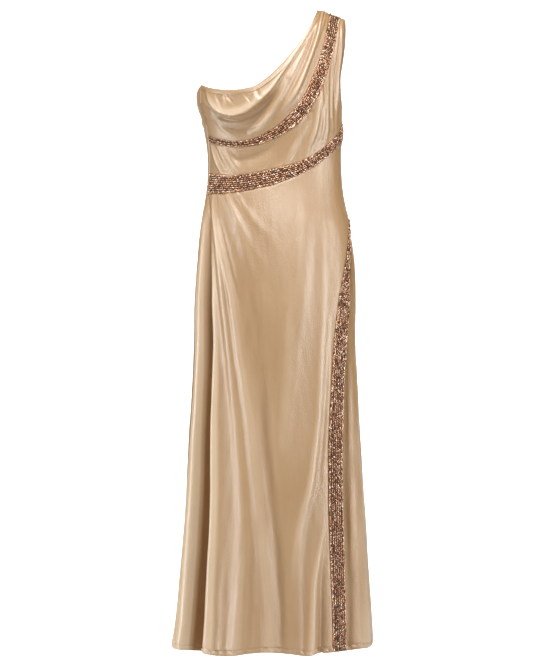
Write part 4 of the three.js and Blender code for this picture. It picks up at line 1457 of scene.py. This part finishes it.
@dataclass(frozen=True)
class BeadKit:
    """The beads that the bands are sewn with, in millimetres."""

    flats: int = 6
    rings: int = 4
    seed_radius: float = 1.4
    seed_press: float = 0.85
    bugle_radius: float = 1.5
    bugle_length: float = 4.6
    bugle_bevel: float = 0.5
    bugle_press: float = 0.9
    stitch_flats: int = 5
    stitch_length: float = 2.7
    stitch_radius: float = 0.26

    def seed(self) -> Shape:
        """Models a round seed bead."""
        bpy.ops.mesh.primitive_uv_sphere_add(
            segments=self.flats, ring_count=self.rings, radius=self.seed_radius * MM
        )
        return self._pressed(1.0, self.seed_press)

    def bugle(self) -> Shape:
        """Models a cut bead with flats and eased ends, lying along X."""
        bpy.ops.mesh.primitive_cylinder_add(
            vertices=self.flats,
            radius=self.bugle_radius * MM,
            depth=self.bugle_length * MM,
            rotation=(0, math.pi / 2, 0),
        )
        bpy.ops.object.transform_apply(location=False, rotation=True, scale=False)
        clear_selection("FACE")
        for face in bpy.context.active_object.data.polygons:
            face.select = len(face.vertices) == self.flats
        bpy.ops.object.mode_set(mode="EDIT")
        bpy.ops.mesh.bevel(offset=self.bugle_bevel * MM, affect="EDGES")
        bpy.ops.object.mode_set(mode="OBJECT")
        return self._pressed(1.0, self.bugle_press)

    def stitch(self) -> Shape:
        """Models one stitch, lying along X."""
        bpy.ops.mesh.primitive_uv_sphere_add(
            segments=self.stitch_flats,
            ring_count=self.rings,
            radius=self.stitch_radius * MM,
            rotation=(0, math.pi / 2, 0),
        )
        bpy.ops.object.transform_apply(location=False, rotation=True, scale=False)
        return self._pressed(self.stitch_length / (2 * self.stitch_radius), 1.0)

    @staticmethod
    def _pressed(length: float, height: float) -> Shape:
        """Stretches the active bead along X, presses it along Z, and takes it as triangles."""
        bpy.ops.object.mode_set(mode="EDIT")
        bpy.ops.mesh.select_all(action="SELECT")
        bpy.ops.transform.resize(value=(length, 1.0, height))
        bpy.ops.mesh.quads_convert_to_tris()
        bpy.ops.object.mode_set(mode="OBJECT")
        return Shape.from_active()


@dataclass
class Placing:
    """Where copies of a shape go: centres, three axes, sizes and tones."""

    centres: Points
    axes: np.ndarray
    sizes: np.ndarray
    tones: np.ndarray

    @classmethod
    def on(cls, sheet: Sheet, down: np.ndarray, across: np.ndarray, proud: float) -> "Placing":
        """Places copies at shares of a sheet, proud of its middle surface, with their X along its rows."""
        points, normals, along_row = sheet.sample(down, across)
        axes = np.stack([along_row, unit(np.cross(normals, along_row)), normals], axis=1)
        count = len(points)
        return cls(points + normals * proud, axes, np.ones(count), np.zeros(count))


def turned(axes: np.ndarray, tilt: np.ndarray, lean: np.ndarray, spin: np.ndarray) -> np.ndarray:
    """Turns sets of axes.

    Args:
        axes: Rows of X, Y and Z directions for each copy.
        tilt: Turn about each copy's Y, in radians.
        lean: Turn about its X.
        spin: Turn about its Z.

    Returns:
        The turned axes.
    """

    def turn(first: Points, second: Points, angle: np.ndarray) -> tuple[Points, Points]:
        """Turns a pair of directions towards each other."""
        c, s = np.cos(angle)[:, None], np.sin(angle)[:, None]
        return first * c + second * s, second * c - first * s

    x, y, z = axes[:, 0], axes[:, 1], axes[:, 2]
    x, y = turn(x, y, spin)
    z, x = turn(z, x, tilt)
    y, z = turn(y, z, lean)
    return np.stack([x, y, z], axis=1)


def strew(name: str, lots: Sequence[tuple[Shape, Placing]], origin: Points) -> bpy.types.Object:
    """Copies shapes to many places as one piece.

    Args:
        name: The piece's name.
        lots: Each shape with its places.
        origin: The part's origin on the form.

    Returns:
        The new piece, with a tone at each point.
    """
    points, faces, tones, start = [], [], [], 0
    for shape, placing in lots:
        local = shape.points[None] * placing.sizes[:, None, None]
        spread = np.einsum("nvk,nkj->nvj", local, placing.axes) + placing.centres[:, None]
        count, size = spread.shape[:2]
        points.append(spread.reshape(-1, 3))
        offset = start + size * np.arange(count)[:, None, None]
        faces.append((shape.faces[None] + offset).reshape(-1, shape.faces.shape[1]))
        tones.append(np.repeat(placing.tones, size))
        start += count * size
    piece = mesh_piece(name, (np.concatenate(points) - origin) * MM, np.concatenate(faces))
    mark_points(piece, "tone", np.concatenate(tones))
    return piece


@dataclass(frozen=True)
class BeadSort:
    """One sort of bead and how its rows are sewn.

    shares says how often it has each tone, start how far along the step its rows begin, proud how far it
    stands off the cloth's face, and loose how much it turns and wanders.
    """

    shape: Shape
    shares: Sequence[float]
    start: float
    proud: float
    loose: float


@dataclass
class Beader:
    """Sews beads on bands.

    Beads keep a margin from a band's long edges, a lead from its start and a tail from its end. Each
    wanders a little along its row, across it and off the cloth, turns a little and leans up to a limit.
    """

    origin: Points
    kit: BeadKit
    row_pitch: float = 3.5
    step: float = 7.0
    margin: float = 1.4
    lead: float = 2.6
    tail: float = 2.4
    wander: float = 0.22
    wander_shares: Triple = (1.4, 1.0, 0.5)
    turn: float = 0.2
    lean: float = 0.7
    sizes: tuple[float, float] = (0.88, 1.08)
    tones: Sequence[float] = (0.04, 0.2, 0.36, 0.5, 0.64, 0.82, 1.0)
    sorts: Sequence[BeadSort] = field(init=False)

    def __post_init__(self) -> None:
        """Models each sort of bead once."""
        bugle, seed = self.kit.bugle(), self.kit.seed()
        self.sorts = (
            BeadSort(bugle, (0.15, 0.14, 0.2, 0.2, 0.14, 0.09, 0.08), 0.0, 0.75, 1.0),
            BeadSort(seed, (0.3, 0.08, 0.08, 0.08, 0.1, 0.12, 0.24), 0.5, 0.85, 1.2),
        )

    def rows(self, sheet: Sheet, start: float, proud: float) -> list[Placing]:
        """Lays rows of places along a band, each row half a step on from the last.

        Args:
            sheet: The band's cloth.
            start: How far the first place is moved along the row.
            proud: How far the places stand off the cloth's middle.

        Returns:
            One placing for each row that has any.
        """
        width = np.linalg.norm(sheet.points[0] - sheet.points[-1], axis=-1)
        length = distances(sheet.points[sheet.points.shape[0] // 2])
        half = int(width.max() / self.row_pitch / 2) + 1
        placings = []
        for line in range(-half, half + 1):
            shift = line * self.row_pitch
            first = self.lead + start + (line % 2) * self.step / 2
            at = np.arange(first, length[-1] - self.tail, self.step)
            across = np.interp(at, length, np.linspace(0, 1, len(length)))
            room = np.interp(at, length, width)
            keep = np.abs(shift) < room / 2 - self.margin
            if keep.any():
                placings.append(Placing.on(sheet, 0.5 + shift / room[keep], across[keep], proud))
        return placings

    def vary(self, placing: Placing, rng: np.random.Generator, sort: BeadSort) -> Placing:
        """Makes each bead of a row a little different.

        Args:
            placing: The row.
            rng: The source of chance.
            sort: The sort of bead.

        Returns:
            The varied row.
        """
        count = len(placing.centres)
        wander = rng.normal(0, self.wander * sort.loose, (count, 3)) * np.array(self.wander_shares)
        centres = placing.centres + np.einsum("nk,nkj->nj", wander, placing.axes)
        tilt, spin = rng.normal(0, self.turn * sort.loose, (2, count))
        axes = turned(placing.axes, tilt, rng.uniform(-self.lean, self.lean, count), spin)
        sizes = rng.uniform(*self.sizes, count)
        return Placing(centres, axes, sizes, rng.choice(self.tones, count, p=sort.shares))

    def bead(self, name: str, sheet: Sheet, seed: int, face: float) -> bpy.types.Object:
        """Covers a band with rows of cut beads, with a small round bead between each two.

        Args:
            name: The new piece's name.
            sheet: The band's cloth.
            seed: The seed of chance for this band.
            face: How far the band's face is from its middle surface.

        Returns:
            The beads as one piece.
        """
        rng = np.random.default_rng(seed)
        lots = [
            (sort.shape, self.vary(row, rng, sort))
            for sort in self.sorts
            for row in self.rows(sheet, sort.start * self.step, face + sort.proud)
        ]
        return strew(name, lots, self.origin)


@dataclass(frozen=True)
class Cut:
    """A panel's flat cut: its width and length, and its area where it isn't a rectangle, in metres."""

    width: float
    length: float
    area: float
    held: str


@dataclass(frozen=True)
class Panel:
    """A piece of the pattern: its name, its weave, its rough length down and across, and its cut."""

    name: str
    weave: Weave
    lengths: tuple[float, float]
    cut: Cut


@dataclass
class SatinPanels:
    """The satin pieces of the gown."""

    tailor: Tailor
    material: bpy.types.Material

    def build(self) -> dict[str, Sheet]:
        """Builds every satin panel.

        Returns:
            Each sheet by its node's name.
        """
        neck = Weave(4, 150, rolled=Rolled.TOP, turning=7.0, ripple=0.15, seam_dip=0.5, pucker=0.15)
        front, drape = Weave(34, 170, ripple=0.35), Weave(58, 150, ripple=0.35)
        back = Weave(60, 120, rolled=Rolled.TOP, turning=8.0, ripple=0.6)
        skirt_front = Weave(250, 124, rolled=Rolled.FOOT, ripple=0.5)
        skirt_back = Weave(190, 168, rolled=Rolled.FOOT, ripple=0.9)
        panels = (
            Panel("neck_band", neck, (8, 430), Cut(0.42, 0.026, 0.0109, "stretched")),
            Panel("cowl_drape", drape, (140, 430), Cut(0.42, 0.24, 0.05, "draped")),
            Panel("bodice_front", front, (90, 560), Cut(0.40, 0.34, 0.045, "draped")),
            Panel("bodice_back", back, (230, 560), Cut(0.40, 0.42, 0.105, "draped")),
            Panel("skirt_front", skirt_front, (1150, 330), Cut(0.48, 1.22, 0.42, "gathered")),
            Panel("skirt_back", skirt_back, (1160, 900), Cut(1.05, 1.22, 0.95, "hung")),
        )
        sheets = {}
        for panel in panels:
            sheet = self.tailor.cut(panel.name, panel.weave, panel.lengths)
            piece = self.tailor.sew(f"{panel.name}_cloth", sheet, panel.weave)
            finish_piece(piece, self.material, panel.name)
            sheets[panel.name] = sheet
        return sheets


@dataclass
class BeadedBands:
    """The beaded bands: a dark backing and the beads on it."""

    tailor: Tailor
    beader: Beader
    backing: bpy.types.Material
    beads: bpy.types.Material
    wall: float = 1.3
    proud: float = 0.35
    first_seed: int = 11

    def weave(self, rows: int, columns: int) -> Weave:
        """The firm backing of a band, with a grid of so many rows and columns."""
        return Weave(rows, columns, wall=self.wall, proud=self.proud, seam_dip=0.6, ripple=0.1, pucker=0.0)

    def build(self) -> None:
        """Builds every beaded band."""
        upper, waist, trim = self.weave(8, 180), self.weave(12, 110), self.weave(10, 260)
        panels = (
            Panel("upper_band", upper, (25, 560), Cut(0.58, 0.025, 0.0138, "stretched")),
            Panel("waist_band", waist, (42, 330), Cut(0.36, 0.045, 0.0135, "stretched")),
            Panel("slit_trim", trim, (34, 1010), Cut(1.02, 0.04, 0.035, "hung")),
        )
        for seed, panel in enumerate(panels, start=self.first_seed):
            sheet = self.tailor.cut(panel.name, panel.weave, panel.lengths)
            piece = self.tailor.sew(f"{panel.name}_backing", sheet, panel.weave)
            finish_piece(piece, self.backing, panel.name)
            beads = self.beader.bead(f"{panel.name}_beads", sheet, seed, self.wall / 2)
            finish_piece(beads, self.beads, "")


@dataclass
class Stitching:
    """The lines of stitches that show."""

    origin: Points
    stitch: Shape
    material: bpy.types.Material
    pitch: float = 4.3
    proud: float = 0.72
    hem_depth: float = HemSewing.depth
    neck_depth: float = 1.6

    def line(self, sheet: Sheet, from_foot: bool, depth: float) -> Placing:
        """Lays a line of stitches beside an edge of a sheet.

        Args:
            sheet: The cloth.
            from_foot: Whether the line follows the foot of the sheet, or its top.
            depth: The line's distance from that edge.

        Returns:
            Where the stitches go.
        """
        points = sheet.points[::-1] if from_foot else sheet.points
        fall = distances(points)
        rows = np.linspace(0, 1, points.shape[0])
        down = np.array([np.interp(depth, fall[:, c], rows) for c in range(points.shape[1])])
        down = 1 - down if from_foot else down
        across = np.linspace(0, 1, points.shape[1])
        length = distances(sheet.sample(down, across)[0])
        at = np.arange(self.pitch, length[-1] - self.pitch, self.pitch)
        share = np.interp(at, length, across)
        return Placing.on(sheet, np.interp(share, across, down), share, self.proud)

    def build(self, sheets: dict[str, Sheet]) -> None:
        """Sews the hem and the neckline."""
        plans = (
            ("skirt_front", "front_hem_stitches", True, self.hem_depth),
            ("skirt_back", "back_hem_stitches", True, self.hem_depth),
            ("cowl_drape", "neck_stitches", False, self.neck_depth),
        )
        for node, name, from_foot, depth in plans:
            lot = (self.stitch, self.line(sheets[node], from_foot, depth))
            finish_piece(strew(name, [lot], self.origin), self.material, "")


@dataclass(frozen=True)
class Lamp:
    """A soft light: where it stands, what it looks at, its width and height in metres, and its power."""

    name: str
    place: Spot
    target: Spot
    size: tuple[float, float]
    power: float

    def build(self) -> None:
        """Puts the light in the scene."""
        data = bpy.data.lights.new(self.name, "AREA")
        data.shape = "RECTANGLE"
        data.size, data.size_y = self.size
        data.energy = self.power
        lamp = bpy.data.objects.new(self.name, data)
        bpy.context.collection.objects.link(lamp)
        lamp.location = self.place
        look = Vector(self.target) - Vector(self.place)
        lamp.rotation_euler = look.to_track_quat("-Z", "Y").to_euler()


@dataclass
class Studio:
    """The floor, the lights and the camera, in metres from the middle of the body at the hem."""

    form: DressForm
    camera_distance: float = 4.0
    camera_level: float = 0.719
    camera_side: float = -0.0195
    frame_height: float = 1.532
    sensor_height: float = 24.0
    drop: float = 0.45
    breadth: float = 5.6
    front: float = 2.4
    reach: float = 5.0
    height: float = 4.2
    bend: float = 1.6
    bend_steps: int = 16
    sky_colour: Colour = (1.0, 0.985, 0.96)
    sky_strength: float = 0.04

    def spot(self, x: float, y: float, level: float) -> Spot:
        """Finds the place in the frame of one given from the middle of the body at the hem."""
        ox, oy, oz = self.form.origin * MM
        return (x - ox, y - oy, level - oz)

    def build_camera(self) -> None:
        """Sets a level camera in front of the gown."""
        data = bpy.data.cameras.new("camera")
        data.sensor_fit = "VERTICAL"
        data.sensor_height = self.sensor_height
        data.lens = self.sensor_height * self.camera_distance / self.frame_height
        camera = bpy.data.objects.new("camera", data)
        bpy.context.collection.objects.link(camera)
        camera.location = self.spot(self.camera_side, -self.camera_distance, self.camera_level)
        camera.rotation_euler = (math.pi / 2, 0, 0)
        bpy.context.scene.camera = camera

    def build_paper(self, material: bpy.types.Material) -> None:
        """Models a floor that sweeps up into a backdrop."""
        middle = self.spot(0, (self.reach - self.front) / 2, -self.drop)
        bpy.ops.mesh.primitive_plane_add(size=1, location=middle)
        paper = bpy.context.active_object
        paper.name = "studio_paper"
        paper.scale = (self.breadth, self.reach + self.front, 1)
        bpy.ops.object.transform_apply(location=True, rotation=False, scale=True)
        clear_selection("EDGE")
        vertices = paper.data.vertices
        for edge in paper.data.edges:
            edge.select = all(vertices[v].co.y > middle[1] for v in edge.vertices)
        bpy.ops.object.mode_set(mode="EDIT")
        bpy.ops.mesh.extrude_region_move(TRANSFORM_OT_translate={"value": (0, 0, self.height)})
        bpy.ops.object.mode_set(mode="OBJECT")
        bend = paper.modifiers.new("bend", "BEVEL")
        bend.width = self.bend
        bend.segments = self.bend_steps
        bend.limit_method = "ANGLE"
        select_only(paper)
        bpy.ops.object.modifier_apply(modifier=bend.name)
        bpy.ops.object.shade_smooth()
        paper.data.materials.append(material)

    def build_lights(self) -> None:
        """Sets two tall side lights, two high ones, one on the backdrop and an even surround."""
        middle = self.spot(0, 0, 0.75)
        lamps = (
            Lamp("left_light", self.spot(-2.6, -1.2, 0.7), middle, (0.6, 2.6), 44),
            Lamp("right_light", self.spot(2.5, -1.5, 1.1), middle, (0.8, 1.9), 42),
            Lamp("front_light", self.spot(0.3, -3.2, 3.3), middle, (1.2, 1.2), 44),
            Lamp("top_light", self.spot(-0.1, -1.3, 3.3), self.spot(0, 0, 1.15), (1.3, 1.0), 49),
            Lamp("paper_light", self.spot(0, 1.8, 3.2), self.spot(0, 5.0, 1.0), (3.6, 1.0), 170),
        )
        for lamp in lamps:
            lamp.build()
        world = bpy.data.worlds.new("surround")
        bpy.context.scene.world = world
        world.use_nodes = True
        sky = world.node_tree.nodes["Background"]
        sky.inputs["Color"].default_value = (*self.sky_colour, 1.0)
        sky.inputs["Strength"].default_value = self.sky_strength

    def build(self) -> None:
        """Builds the whole studio."""
        self.build_camera()
        self.build_paper(StudioFinish().material())
        self.build_lights()
        bpy.context.scene.view_settings.view_transform = "Standard"


def main() -> None:
    """Builds the gown's pieces and the studio, in order."""
    logging.basicConfig(level=logging.INFO, format="%(message)s")
    form = DressForm()
    tailor = Tailor(form, Pattern())
    kit = BeadKit()
    beader = Beader(form.origin, kit)
    stitch = kit.stitch()
    Studio(form).build()
    sheets = SatinPanels(tailor, SatinFinish().material()).build()
    BeadedBands(tailor, beader, BackingFinish().material(), BeadFinish().material()).build()
    Stitching(form.origin, stitch, ThreadFinish().material()).build(sheets)


if __name__ == "__main__":
    main()
